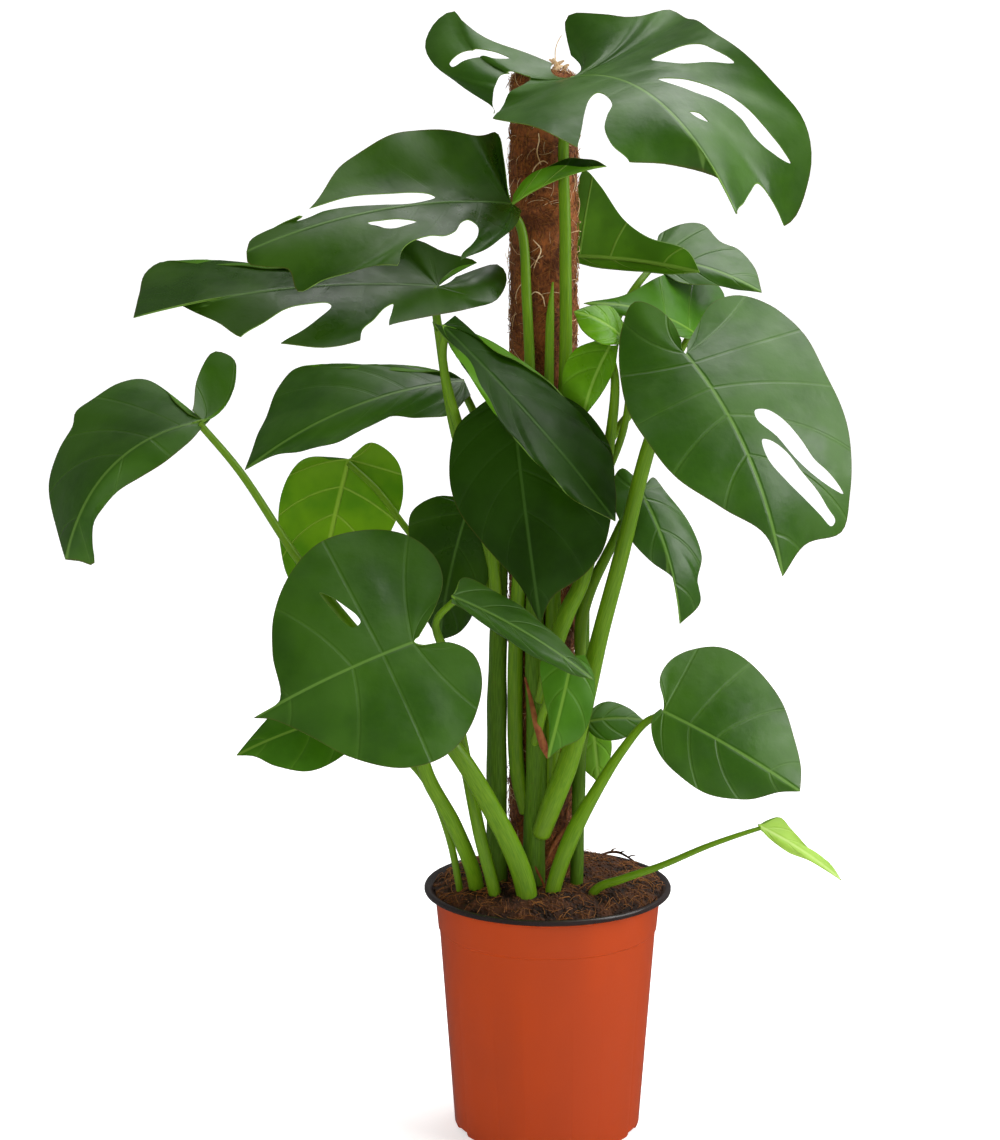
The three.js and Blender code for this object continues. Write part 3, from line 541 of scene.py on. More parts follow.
@dataclass(frozen=True)
class LeafBack:
    """The under face of a blade: matt, lighter and yellower, with raised veins. The lighter yellow
    green is partly its own colour and partly painted light shining through the blade.
    """

    name: str
    dark: str
    light: str
    vein: str
    roughness: float = 0.5
    gloss: float = 0.2
    vein_share: float = 0.55
    cloud_scale: float = 20
    grain_scale: float = 320
    cloud_range: Span = (0.36, 0.64)
    vein_width: Span = (0.3, 1.3)
    rib_width: Span = (1.2, 2.6)
    ridge_depth: float = 0.0007
    grain_depth: float = 0.00012
    relief: float = 0.5

    def build(self) -> bpy.types.Material:
        """Makes the material.

        Returns:
            The material.
        """
        g = Graph(self.name)
        vein, rib = g.layer("veins")
        cloud = g.clouds(self.cloud_scale, detail=4)
        fine = g.clouds(self.grain_scale, detail=2)
        base = g.mix(g.fade(cloud, *self.cloud_range), paint(self.dark), paint(self.light))
        veins = g.sum("MAXIMUM", g.line(vein, self.vein_width), g.line(rib, self.rib_width))
        base = g.mix(g.sum("MULTIPLY", veins, self.vein_share), base, paint(self.vein))
        ridges = g.bump(veins, self.ridge_depth)
        normal = g.bump(fine, self.grain_depth, self.relief, ridges)
        feeds = {"Base Color": base, "Roughness": self.roughness, "Normal": normal}
        return g.surface({**feeds, GLOSS: self.gloss})


@dataclass(frozen=True)
class StalkSkin:
    """Smooth green skin with faint streaks along it, browner towards its foot."""

    name: str
    dark: str
    light: str
    foot: str
    roughness: float = 0.34
    gloss: float = 0.26
    foot_height: Span = (0.0, 0.7)
    foot_share: float = 0.2
    speck_share: float = 0.25
    streak_scale: float = 7
    streak_stretch: Point = (1.0, 9.0, 1.0)
    speck_scale: float = 420
    streak_range: Span = (0.3, 0.7)
    speck_range: Span = (0.62, 0.72)
    streak_depth: float = 0.0002
    speck_depth: float = 0.0001

    def build(self) -> bpy.types.Material:
        """Makes the material.

        Returns:
            The material.
        """
        g = Graph(self.name)
        along, _ = g.layer("grain")
        streak = g.clouds(self.streak_scale, self.streak_stretch, 4, "grain")
        speck = g.clouds(self.speck_scale, detail=2)
        base = g.mix(g.fade(streak, *self.streak_range), paint(self.dark), paint(self.light))
        base = g.mix(g.line(along, self.foot_height, self.foot_share), base, paint(self.foot))
        specks = g.fade(speck, *self.speck_range, 0.0, self.speck_share)
        base = g.mix(specks, base, paint(self.foot))
        streaks = g.bump(streak, self.streak_depth, 0.5)
        normal = g.bump(speck, self.speck_depth, 0.4, streaks)
        feeds = {"Base Color": base, "Roughness": self.roughness, "Normal": normal}
        return g.surface({**feeds, GLOSS: self.gloss})


@dataclass(frozen=True)
class Fibre:
    """Coconut fibre, from dark to pale along and between its strands."""

    name: str
    dark: str
    light: str
    scale: float = 160
    depth: float = 0.002
    roughness: float = 0.88
    colour_range: Span = (0.38, 0.62)
    coarse_stretch: Point = (1, 1, 0.8)
    strand_stretch: Point = (1, 1, 0.6)
    strand_depth: float = 0.4

    def build(self) -> bpy.types.Material:
        """Makes the material.

        Returns:
            The material.
        """
        g = Graph(self.name)
        coarse = g.clouds(self.scale / 4, self.coarse_stretch, 5)
        strand = g.clouds(self.scale * 3, self.strand_stretch, 4)
        share = g.fade(g.mean(coarse, strand), *self.colour_range)
        base = g.mix(share, paint(self.dark), paint(self.light))
        lumps = g.bump(coarse, self.depth)
        normal = g.bump(strand, self.depth * self.strand_depth, 0.9, lumps)
        return g.surface({"Base Color": base, "Roughness": self.roughness, "Normal": normal})


@dataclass(frozen=True)
class Moulded:
    """Moulded plastic: an even colour with a fine skin and faint turned bands."""

    name: str
    colour: str
    shade: str
    roughness: float
    gloss: float = 0.14
    wide_share: float = 0.6
    fine_share: float = 0.12
    wide_scale: float = 9
    wide_stretch: Point = (1, 1, 0.5)
    band_scale: float = 60
    band_stretch: Point = (0.05, 0.05, 3.0)
    skin_scale: float = 900
    wide_range: Span = (0.35, 0.65)
    fine_range: Span = (0.4, 0.7)
    sheen_range: Span = (0.3, 0.7)
    smoother: float = 0.04
    rougher: float = 0.08
    band_depth: float = 0.0003
    skin_depth: float = 0.00008

    def build(self) -> bpy.types.Material:
        """Makes the material.

        Returns:
            The material.
        """
        g = Graph(self.name)
        wide = g.clouds(self.wide_scale, self.wide_stretch)
        band = g.clouds(self.band_scale, self.band_stretch, 2)
        fine = g.clouds(self.skin_scale, detail=2)
        cloud = g.fade(wide, *self.wide_range, 0.0, self.wide_share)
        base = g.mix(cloud, paint(self.colour), paint(self.shade))
        speck = g.fade(fine, *self.fine_range, 0.0, self.fine_share)
        base = g.mix(speck, base, paint(self.shade))
        normal = g.bump(fine, self.skin_depth, 0.5, g.bump(band, self.band_depth, 0.25))
        limits = (self.roughness - self.smoother, self.roughness + self.rougher)
        rough = g.fade(wide, *self.sheen_range, *limits)
        feeds = {"Base Color": base, "Roughness": rough, "Normal": normal, GLOSS: self.gloss}
        return g.surface(feeds)


@dataclass(frozen=True)
class Earth:
    """Potting soil: dark crumbs of peat among reddish fibre."""

    name: str
    dark: str
    light: str
    roughness: float = 0.95
    lump_scale: float = 70
    grit_scale: float = 600
    lump_range: Span = (0.38, 0.62)
    grit_range: Span = (0.56, 0.7)
    grit_share: float = 0.7
    lump_depth: float = 0.004
    grit_depth: float = 0.0015

    def build(self) -> bpy.types.Material:
        """Makes the material.

        Returns:
            The material.
        """
        g = Graph(self.name)
        lumps = g.clouds(self.lump_scale, detail=6)
        grit = g.clouds(self.grit_scale, detail=4)
        base = g.mix(g.fade(lumps, *self.lump_range), paint(self.dark), paint(self.light))
        share = g.fade(grit, *self.grit_range, 0.0, self.grit_share)
        base = g.mix(share, base, paint(self.light))
        normal = g.bump(grit, self.grit_depth, 0.9, g.bump(lumps, self.lump_depth))
        return g.surface({"Base Color": base, "Roughness": self.roughness, "Normal": normal})


@dataclass
class Finishes:
    """Every material of the plant, made once."""

    faces: dict[Tone, bpy.types.Material] = field(init=False)
    backs: dict[Tone, bpy.types.Material] = field(init=False)
    edge: bpy.types.Material = field(init=False)
    stalk: bpy.types.Material = field(init=False)
    stem: bpy.types.Material = field(init=False)
    coir: bpy.types.Material = field(init=False)
    strand: bpy.types.Material = field(init=False)
    pale_strand: bpy.types.Material = field(init=False)
    timber: bpy.types.Material = field(init=False)
    shell: bpy.types.Material = field(init=False)
    rim: bpy.types.Material = field(init=False)
    soil: bpy.types.Material = field(init=False)
    crumb: bpy.types.Material = field(init=False)
    dry: bpy.types.Material = field(init=False)

    def __post_init__(self) -> None:
        """Builds them."""
        faces = {
            # The shaded face is painted shade, a darker copy of the upper face for leaves in the
            # shadow of the leaves above. The deep face is partly a darker leaf and partly painted
            # shade.
            Tone.DARK: LeafFace("leaf_dark", "162e02", "1e3c02", "3c5c20", 0.36, 0.12),
            Tone.DEEP_SHADED: LeafFace("leaf_deep", "203e04", "2c4c06", "587c34", 0.34, 0.26),
            Tone.FULL: LeafFace("leaf_full", "274a08", "345a0c", "6c923c", 0.38, 0.36),
            Tone.FRESH: LeafFace("leaf_fresh", "305a08", "3e6c10", "7fa23c", rib_share=0.45),
            Tone.YOUNG: LeafFace("leaf_young", "4b7c08", "629612", "93b84c", 0.32),
            Tone.PALE: LeafFace("leaf_pale", "86ac3a", "9cc050", "b4cc78", 0.4),
        }
        self.faces = {tone: face.build() for tone, face in faces.items()}
        # The back's lighter yellow green is partly its own colour and partly painted light shining
        # through the blade.
        back = LeafBack("leaf_back", "3a6404", "4c7c08", "7d9f3a").build()
        # The pale back is partly the paler under face of younger leaves and partly painted light:
        # the glow of light shining through a blade from behind.
        pale = LeafBack("leaf_back_pale_and_painted_light", "4e8006", "68960c", "98b83e").build()
        self.backs = {tone: back for tone in (Tone.DARK, Tone.DEEP_SHADED, Tone.FULL)}
        self.backs |= {tone: pale for tone in (Tone.FRESH, Tone.YOUNG, Tone.PALE)}
        self.edge = LeafBack("leaf_edge", "4a6a20", "5c7c2c", "6c8c38").build()
        self.stalk = StalkSkin("stalk_skin", "4a7008", "628412", "6a7a20").build()
        self.stem = StalkSkin("stem_skin", "3e5e0c", "527418", "5a4a20", 0.45, 0.14).build()
        self.coir = Fibre("coir_mat", "4c260e", "8c4e20").build()
        self.strand = Fibre("coir_strand", "6c3c1a", "a0682e").build()
        self.pale_strand = Fibre("coir_pale_strand", "c09868", "e4c8a0").build()
        self.timber = Fibre("stake_timber", "8a6a45", "b08c5e", 60, 0.0006).build()
        self.shell = Moulded("pot_shell", "aa3a04", "983202", 0.32, 0.24).build()
        self.rim = Moulded("pot_rim", "221a18", "2e2220", 0.26, 0.5).build()
        self.soil = Earth("potting_soil", "1c0e07", "4a2a14").build()
        self.crumb = Earth("soil_crumb", "24140a", "5c3820").build()
        self.dry = Fibre("dry_sheath", "6a2e12", "8a5428", 90, 0.0006).build()


# ---------------------------------------------------------------- leaf blades

Outline = tuple[tuple[float, float], ...]


def loop(outline: Outline, per_span: int = 6, overlap: int = 2) -> np.ndarray:
    """A closed smooth curve through an outline's points, as a ring of points.

    Args:
        outline: The outline's points.
        per_span: How many points each span gets.
        overlap: How many points are repeated at each end, so that the ends meet smoothly.

    Returns:
        The ring's points.
    """
    ring = outline[-overlap:] + outline + outline[:overlap]
    curve = Curve([(*point, 0.0) for point in ring])
    shares = (overlap + np.arange(len(outline) * per_span) / per_span) / curve.spans
    return curve.at(shares)[:, :2]


@dataclass(frozen=True)
class Leaf:
    """The sizes of one blade.

    A cut is the outline of a hole, or of a slit that runs out past the margin, as (along, out)
    points with out to the left.
    """

    name: str
    base: Point
    tip: Point
    up: Point
    left: tuple[Point, ...]
    right: tuple[Point, ...]
    arch: float = 0.0
    bow: float = 0.12
    cuts: tuple[Outline, ...] = ()
    tone: Tone = Tone.FULL
    lobes: tuple["Leaf", ...] = ()


@dataclass
class Blade:
    """Builds one blade from its leaf's sizes, as a thin closed sheet with its veins' places.

    The rows are shares of the way from the midrib to the margin. The fan pairs shares of the
    margin with shares of the midrib, where the rows to them start. The quilting between the
    veins and the ruffle of the margin are at their whole height on a blade of a full reach and
    a full length. Behind the base the bend flattens out. Points are welded on a grid of so many
    steps to a millimetre.
    """

    leaf: Leaf
    thickness: float = 0.8
    quilt: float = 0.6
    ruffle: float = 0.9
    ruffle_beat: float = 0.75
    ruffle_power: int = 5
    lift_power: float = 1.5
    full_reach: float = 60
    full_length: float = 120
    rib: float = 1.0
    rib_width: float = 1.4
    vein_gap: float = 26
    fewest_veins: int = 4
    most_veins: int = 8
    most_columns: int = 72
    flattening: float = 6
    weld_steps: int = 100
    cutter_reach: float = 60
    crease: float = 50
    lobe_quilt: float = 0.4
    rows: tuple[float, ...] = (
        0, 0.012, 0.03, 0.06, 0.1, 0.16, 0.23, 0.31, 0.4,
        0.5, 0.6, 0.7, 0.79, 0.87, 0.93, 0.975, 1,
    )
    fan: tuple[Span, ...] = ((0, 0), (0.3, 0), (0.75, 0.42), (1, 1))

    def __post_init__(self) -> None:
        """Works out the blade's own directions."""
        self.base = np.array(self.leaf.base, float)
        run = np.array(self.leaf.tip, float) - self.base
        self.length = float(np.linalg.norm(run))
        self.along = run / self.length
        up = np.array(self.leaf.up, float)
        self.up = unit(up - (up @ self.along) * self.along)
        self.side = np.cross(self.up, self.along)
        wanted = round(self.length / self.vein_gap)
        self.veins = min(self.most_veins, max(self.fewest_veins, wanted))
        self.columns = self.veins * (self.most_columns // self.veins)

    def place(self, along: np.ndarray, out: np.ndarray, lift: np.ndarray) -> np.ndarray:
        """Puts points of the flat blade in their place on the plant.

        Args:
            along: How far each lies from the base towards the tip.
            out: How far each lies to the left of the midrib.
            lift: How far each stands above the bent plane.

        Returns:
            The points, in millimetres.
        """
        share = np.asarray(along, float) / self.length
        behind = 4 * share / (1 - self.flattening * np.minimum(share, 0))
        rise = np.where(share > 0, 4 * share * (1 - share), behind)
        lift = lift + self.leaf.arch * rise
        parts = ((along, self.along), (out, self.side), (lift, self.up))
        return self.base + sum(np.asarray(v, float)[..., None] * axis for v, axis in parts)

    def half(self, left: bool) -> tuple[np.ndarray, np.ndarray, np.ndarray]:
        """The points of one half, with their distances from veins, midrib and margin.

        Args:
            left: Which half.

        Returns:
            The points as columns of rows, and their two layers.
        """
        sign = 1 if left else -1
        outline = (self.leaf.left if left else self.leaf.right) + ((self.length, 0, 0),)
        u = np.linspace(0, 1, self.columns + 1)
        margin = Curve(outline).spaced(u)
        start = np.interp(u, *zip(*self.fan)) * self.length
        r = np.array(self.rows)[None, :]
        dx, dy, dz = (margin[:, 0] - start)[:, None], margin[:, 1][:, None], margin[:, 2][:, None]
        reach = np.maximum(np.hypot(dx, dy), NO_DISTANCE)
        bow = self.leaf.bow * 4 * r * (1 - r) / reach
        along = start[:, None] + dx * r - bow * dx * dy
        out = dy * r + bow * dx * dx
        phase = u[:, None] * self.veins
        size = np.clip(reach / self.full_reach, 0, 1) * min(1.0, self.length / self.full_length)
        swell = np.cos(math.pi * phase) ** 2
        wave = np.sin(2 * math.pi * phase * self.ruffle_beat + self.length)
        lift = dz * r**self.lift_power + self.quilt * size * swell * 4 * r * (1 - r)
        lift = lift + self.ruffle * size * wave * r**self.ruffle_power
        points = self.place(along, sign * out, lift)
        spread = np.linalg.norm(np.gradient(points, axis=0), axis=2) * self.columns
        vein = np.abs(u[:, None] - (np.floor(phase) + 0.5) / self.veins) * spread
        rib = np.hypot(out, np.maximum(-along, 0))
        veins = np.stack([np.broadcast_to(vein, rib.shape), rib], axis=2)
        edge = np.stack([(1 - r) * reach, np.broadcast_to(along / self.length, rib.shape)], axis=2)
        return points, veins, edge

    def sheet(self) -> Sheet:
        """The whole blade as a closed sheet: upper face, under face and the edge between.

        Returns:
            The closed sheet.
        """
        pairs = zip(self.half(True), self.half(False))
        parts = [np.concatenate([g.reshape(-1, g.shape[2]) for g in pair]) for pair in pairs]
        keys = np.round(parts[0] * self.weld_steps).astype(np.int64)
        _, first, merged = np.unique(keys, axis=0, return_index=True, return_inverse=True)
        merged = merged.reshape(-1)
        points, veins, edge = (part[first] for part in parts)
        columns, rows = self.columns + 1, len(self.rows)
        faces = []
        for half in range(2):
            for i in range(columns - 1):
                for j in range(rows - 1):
                    a = half * columns * rows + i * rows + j
                    ring = [merged[k] for k in (a, a + 1, a + rows + 1, a + rows)]
                    ring = [k for n, k in enumerate(ring) if k != ring[n - 1]]
                    if len(set(ring)) > 2:
                        faces.append(tuple(ring if half else ring[::-1]))
        return self.thicken(points, faces, veins, edge)

    def thicken(
        self, points: np.ndarray, faces: list[Face], veins: np.ndarray, edge: np.ndarray
    ) -> Sheet:
        """Gives the middle sheet its thickness and the midrib's ridge underneath.

        Args:
            points: The middle sheet's points.
            faces: Its faces.
            veins: The distances from vein and midrib.
            edge: The distance from the margin, and the share of the length.

        Returns:
            The closed sheet, with its upper, under and edge faces in slots 0, 1 and 2.
        """
        normals = np.zeros_like(points)
        for face in faces:
            p = points[list(face)]
            near, far = np.cross(p[1] - p[0], p[-1] - p[0]), np.cross(p[2] - p[1], p[0] - p[1])
            normals[list(face)] += near + far
        normals /= np.maximum(np.linalg.norm(normals, axis=1), NO_LENGTH)[:, None]
        half = 0.5 * self.thickness
        profile = np.exp(-((veins[:, 1] / self.rib_width) ** 2))
        ridge = self.rib * profile * np.clip(1 - edge[:, 1], 0, 1)
        count = len(points)
        under = points - (half + ridge)[:, None] * normals
        runs = {(f[n - 1], f[n]) for f in faces for n in range(len(f))}
        rims = [(a, b) for a, b in runs if (b, a) not in runs]
        closed = list(faces) + [tuple(k + count for k in f[::-1]) for f in faces]
        closed += [(b, a, a + count, b + count) for a, b in rims]
        slots = [0] * len(faces) + [1] * len(faces) + [2] * len(rims)
        layers = {"veins": np.concatenate([veins] * 2), "margin": np.concatenate([edge] * 2)}
        return Sheet(np.concatenate([points + half * normals, under]), closed, slots, layers)

    def cutter(self, cut: Outline, edge: bpy.types.Material) -> bpy.types.Object:
        """The room of one cut, as a prism right through the blade.

        Args:
            cut: The cut's outline.
            edge: The finish of the faces that it leaves.

        Returns:
            The prism.
        """
        along, out = loop(cut).T
        count = len(along)
        ends = (-self.cutter_reach, self.cutter_reach)
        flat = [self.place(along, out, np.full(count, z)) for z in ends]
        sides = [(i, (i + 1) % count, (i + 1) % count + count, i + count) for i in range(count)]
        caps = [tuple(range(count))[::-1], tuple(range(count, 2 * count))]
        sheet = Sheet(np.concatenate(flat), sides + caps, [2] * (count + 2))
        tool = make_piece("cut", sheet, [edge] * 3)
        shape = bmesh.new()
        shape.from_mesh(tool.data)
        bmesh.ops.triangulate(shape, faces=shape.faces[:])
        bmesh.ops.recalc_face_normals(shape, faces=shape.faces[:])
        shape.to_mesh(tool.data)
        shape.free()
        return tool

    def build(self, name: str, finishes: Finishes) -> bpy.types.Object:
        """Makes the blade, its cuts and its small lobes.

        Args:
            name: The piece's name.
            finishes: The plant's materials.

        Returns:
            The finished object.
        """
        tone, edge = self.leaf.tone, finishes.edge
        materials = [finishes.faces[tone], finishes.backs[tone], edge]
        piece = make_piece(name, self.sheet(), materials, self.crease)
        if self.leaf.cuts:
            cut_away(piece, [self.cutter(cut, edge) for cut in self.leaf.cuts])
            drop_scraps(piece)
            sharpen(piece.data, self.crease)
        for lobe in self.leaf.lobes:
            sheet = Blade(lobe, quilt=self.lobe_quilt).sheet()
            join(piece, make_piece("lobe", sheet, materials, self.crease))
        return piece


@dataclass
class Foliage:
    """All the leaf blades."""

    leaves: tuple[Leaf, ...]

    def build(self, finishes: Finishes) -> None:
        """Makes each blade and hands it over.

        Args:
            finishes: The plant's materials.
        """
        for leaf in self.leaves:
            piece = Blade(leaf).build(f"leaf_{leaf.name}_fine", finishes)
            hand_over(piece, "leaf", f"leaf_{leaf.name}")


# ---------------------------------------------------------------- stalks and stems


@dataclass(frozen=True)
class Route:
    """The line and the radii of a stalk or a stem, from its foot up."""

    name: str
    points: tuple[Point, ...]
    radii: tuple[float, ...]


@dataclass
class Rod:
    """A closed rod along a route, round at its foot, with a groove on one side."""

    points: Sequence[Point]
    radii: Sequence[float]
    sides: int = 16
    groove: float = 0.0
    groove_end: float = 0.45
    groove_width: float = 0.6
    facing: Point = (0, 1, 0)
    ring_gap: float = 5.0
    fewest_rings: int = 12
    cap_rings: int = 6
    cap_start: float = 0.15
    wobble: float = 0.0
    wobble_length: float = 9
    wobble_start: float = 1.3
    flatness: float = 1.0
    samples: int = 60
    grain_length: float = 100

    def sheet(self) -> Sheet:
        """The rod's points, faces and grain layer.

        Returns:
            The closed sheet.
        """
        curve = Curve(self.points)
        length = curve.walked(np.linspace(0, 1, self.samples))[-1]
        rings = max(self.fewest_rings, int(length / self.ring_gap))
        bend = np.linspace(self.cap_start, 0.5 * math.pi, self.cap_rings)
        cap = self.radii[0] / length * (1 - np.cos(bend))
        t = np.concatenate([cap, np.linspace(cap[-1], 1, rings + 1)[1:]])
        centres = curve.at(t)
        radii = np.interp(t * (len(self.radii) - 1), range(len(self.radii)), self.radii)
        radii[: self.cap_rings] *= np.sin(bend)
        wave = np.sin(t * length / self.wobble_length + self.wobble_start)
        radii = radii * (1 + self.wobble * wave)
        heading = np.gradient(centres, axis=0)
        angle = np.linspace(0, 2 * math.pi, self.sides, endpoint=False)
        away = np.minimum(angle, 2 * math.pi - angle)
        side = np.cross(heading[0], self.facing)
        points = []
        for i in range(len(t)):
            ahead = unit(heading[i])
            side = unit(side - (side @ ahead) * ahead)
            front = np.cross(side, ahead)
            depth = self.groove * max(0.0, 1 - t[i] / self.groove_end)
            radius = radii[i] * (1 - depth * np.exp(-((away / self.groove_width) ** 2)))
            deep = self.flatness * np.cos(angle)[:, None] * front
            points.append(centres[i] + radius[:, None] * (deep + np.sin(angle)[:, None] * side))
        return self.closed(np.array(points), centres, t * length)

    def closed(self, rings: np.ndarray, centres: np.ndarray, walked: np.ndarray) -> Sheet:
        """Joins rings of points into a closed rod.

        Args:
            rings: The points, ring by ring.
            centres: The ring's centres.
            walked: How far along each ring lies.

        Returns:
            The closed sheet.
        """
        count, sides = rings.shape[:2]
        points = np.concatenate([rings.reshape(-1, 3), centres[[0]], centres[[-1]]])
        faces = ring_faces(0, sides, count, (count * sides, count * sides + 1))
        far = walked / self.grain_length
        grain = np.stack([np.repeat(far, sides), np.tile(np.arange(sides) / sides, count)], axis=1)
        grain = np.concatenate([grain, [[far[0], 0.5], [far[-1], 0.5]]])
        return Sheet(points, faces, None, {"grain": grain})


@dataclass
class Stalks:
    """All the leaf stalks: each runs from the soil or a stem to the start of its midrib."""

    routes: tuple[Route, ...]
    leaves: tuple[Leaf, ...]
    groove: float = 0.35
    facing: Point = (0.2, 1, 0)
    swelling: float = 1.12
    lead_in: float = 1.5

    def top(self, route: Route) -> tuple[Point, ...]:
        """The route with its last point under the blade.

        Args:
            route: The stalk's route.

        Returns:
            Its points and the new one.
        """
        blade = Blade(next(leaf for leaf in self.leaves if leaf.name == route.name))
        radius = route.radii[-1]
        low = blade.place(self.lead_in * radius, 0.0, -radius)
        heading = unit(low - np.array(route.points[-1], float))
        lean = math.sqrt(max(0.0, 1 - float(heading @ blade.up) ** 2))
        end = blade.place(self.lead_in * radius, 0.0, -radius * lean)
        return route.points + (tuple(end),)

    def build(self, finishes: Finishes) -> None:
        """Makes each stalk and hands it over.

        Args:
            finishes: The plant's materials.
        """
        for route in self.routes:
            radii = route.radii[:-1] + (route.radii[-1] * self.swelling,)
            rod = Rod(self.top(route), radii, groove=self.groove, facing=self.facing)
            piece = make_piece(f"stalk_{route.name}_fine", rod.sheet(), [finishes.stalk])
            hand_over(piece, "stalk", f"stalk_{route.name}")


@dataclass
class Stems:
    """The climbing stems, a little thicker than their solids by the old sheaths round them."""

    routes: tuple[Route, ...]
    sheathed: float = 1.1
    sides: int = 20
    wobble: float = 0.03
    ring_gap: float = 4

    def build(self, finishes: Finishes) -> None:
        """Makes each stem and hands it over.

        Args:
            finishes: The plant's materials.
        """
        for route in self.routes:
            radii = [radius * self.sheathed for radius in route.radii]
            rod = Rod(route.points, radii, self.sides, wobble=self.wobble, ring_gap=self.ring_gap)
            piece = make_piece(f"{route.name}_fine", rod.sheet(), [finishes.stem])
            hand_over(piece, "stem", route.name)


@dataclass
class NewLeaf:
    """The rolled new leaf on the tip of the front stem, with the roll's open side as a groove."""

    points: tuple[Point, ...] = ((-4, -38, 590.6), (-1, -38, 640), (0, -40, 700), (2, -41, 728))
    radii: tuple[float, ...] = (4, 4.2, 3.4, 0.7)
    groove: float = 0.5
    groove_end: float = 1.2
    facing: Point = (0.6, -1, 0)
    ring_gap: float = 3

    def build(self, finishes: Finishes) -> None:
        """Makes the roll and hands it over.

        Args:
            finishes: The plant's materials.
        """
        rod = Rod(
            self.points,
            self.radii,
            groove=self.groove,
            groove_end=self.groove_end,
            facing=self.facing,
            ring_gap=self.ring_gap,
        )
        piece = make_piece("new_leaf_spike_fine", rod.sheet(), [finishes.stalk])
        hand_over(piece, "young_leaf", "new_leaf_spike")


@dataclass
class Trim:
    """Dried and loose bits: old sheaths on the stems, wisps on the pole, a root on the soil."""

    flatness: float = 0.4
    sides: int = 8
    ring_gap: float = 2

    def bundle(
        self, name: str, routes: Sequence[Route], material: bpy.types.Material
    ) -> bpy.types.Object:
        """Makes one piece of the thin rods along some routes.

        Args:
            name: The piece's name.
            routes: The lines and radii of its rods.
            material: Its finish.

        Returns:
            The piece.
        """
        kind = {"sides": self.sides, "ring_gap": self.ring_gap, "flatness": self.flatness}
        whole, *others = [
            make_piece(route.name, Rod(route.points, route.radii, **kind).sheet(), [material])
            for route in routes
        ]
        for other in others:
            join(whole, other)
        whole.name = whole.data.name = name
        return whole

    def build(self, finishes: Finishes) -> None:
        """Makes the three bundles and hands them over.

        Args:
            finishes: The plant's materials.
        """
        hand_over(self.bundle("dry_sheaths", SHEATHS, finishes.dry), "stem")
        hand_over(self.bundle("pole_wisps", WISPS, finishes.pale_strand), "coir")
        hand_over(self.bundle("soil_root", ROOTS, finishes.crumb), "soil")


# ---------------------------------------------------------------- the tables
#
# The leaves, stems and stalks have the millimetres of the solids' source. Margins and cuts, and
# many of the routes' points, were worked out from points picked on the photograph, through an
# estimated camera.

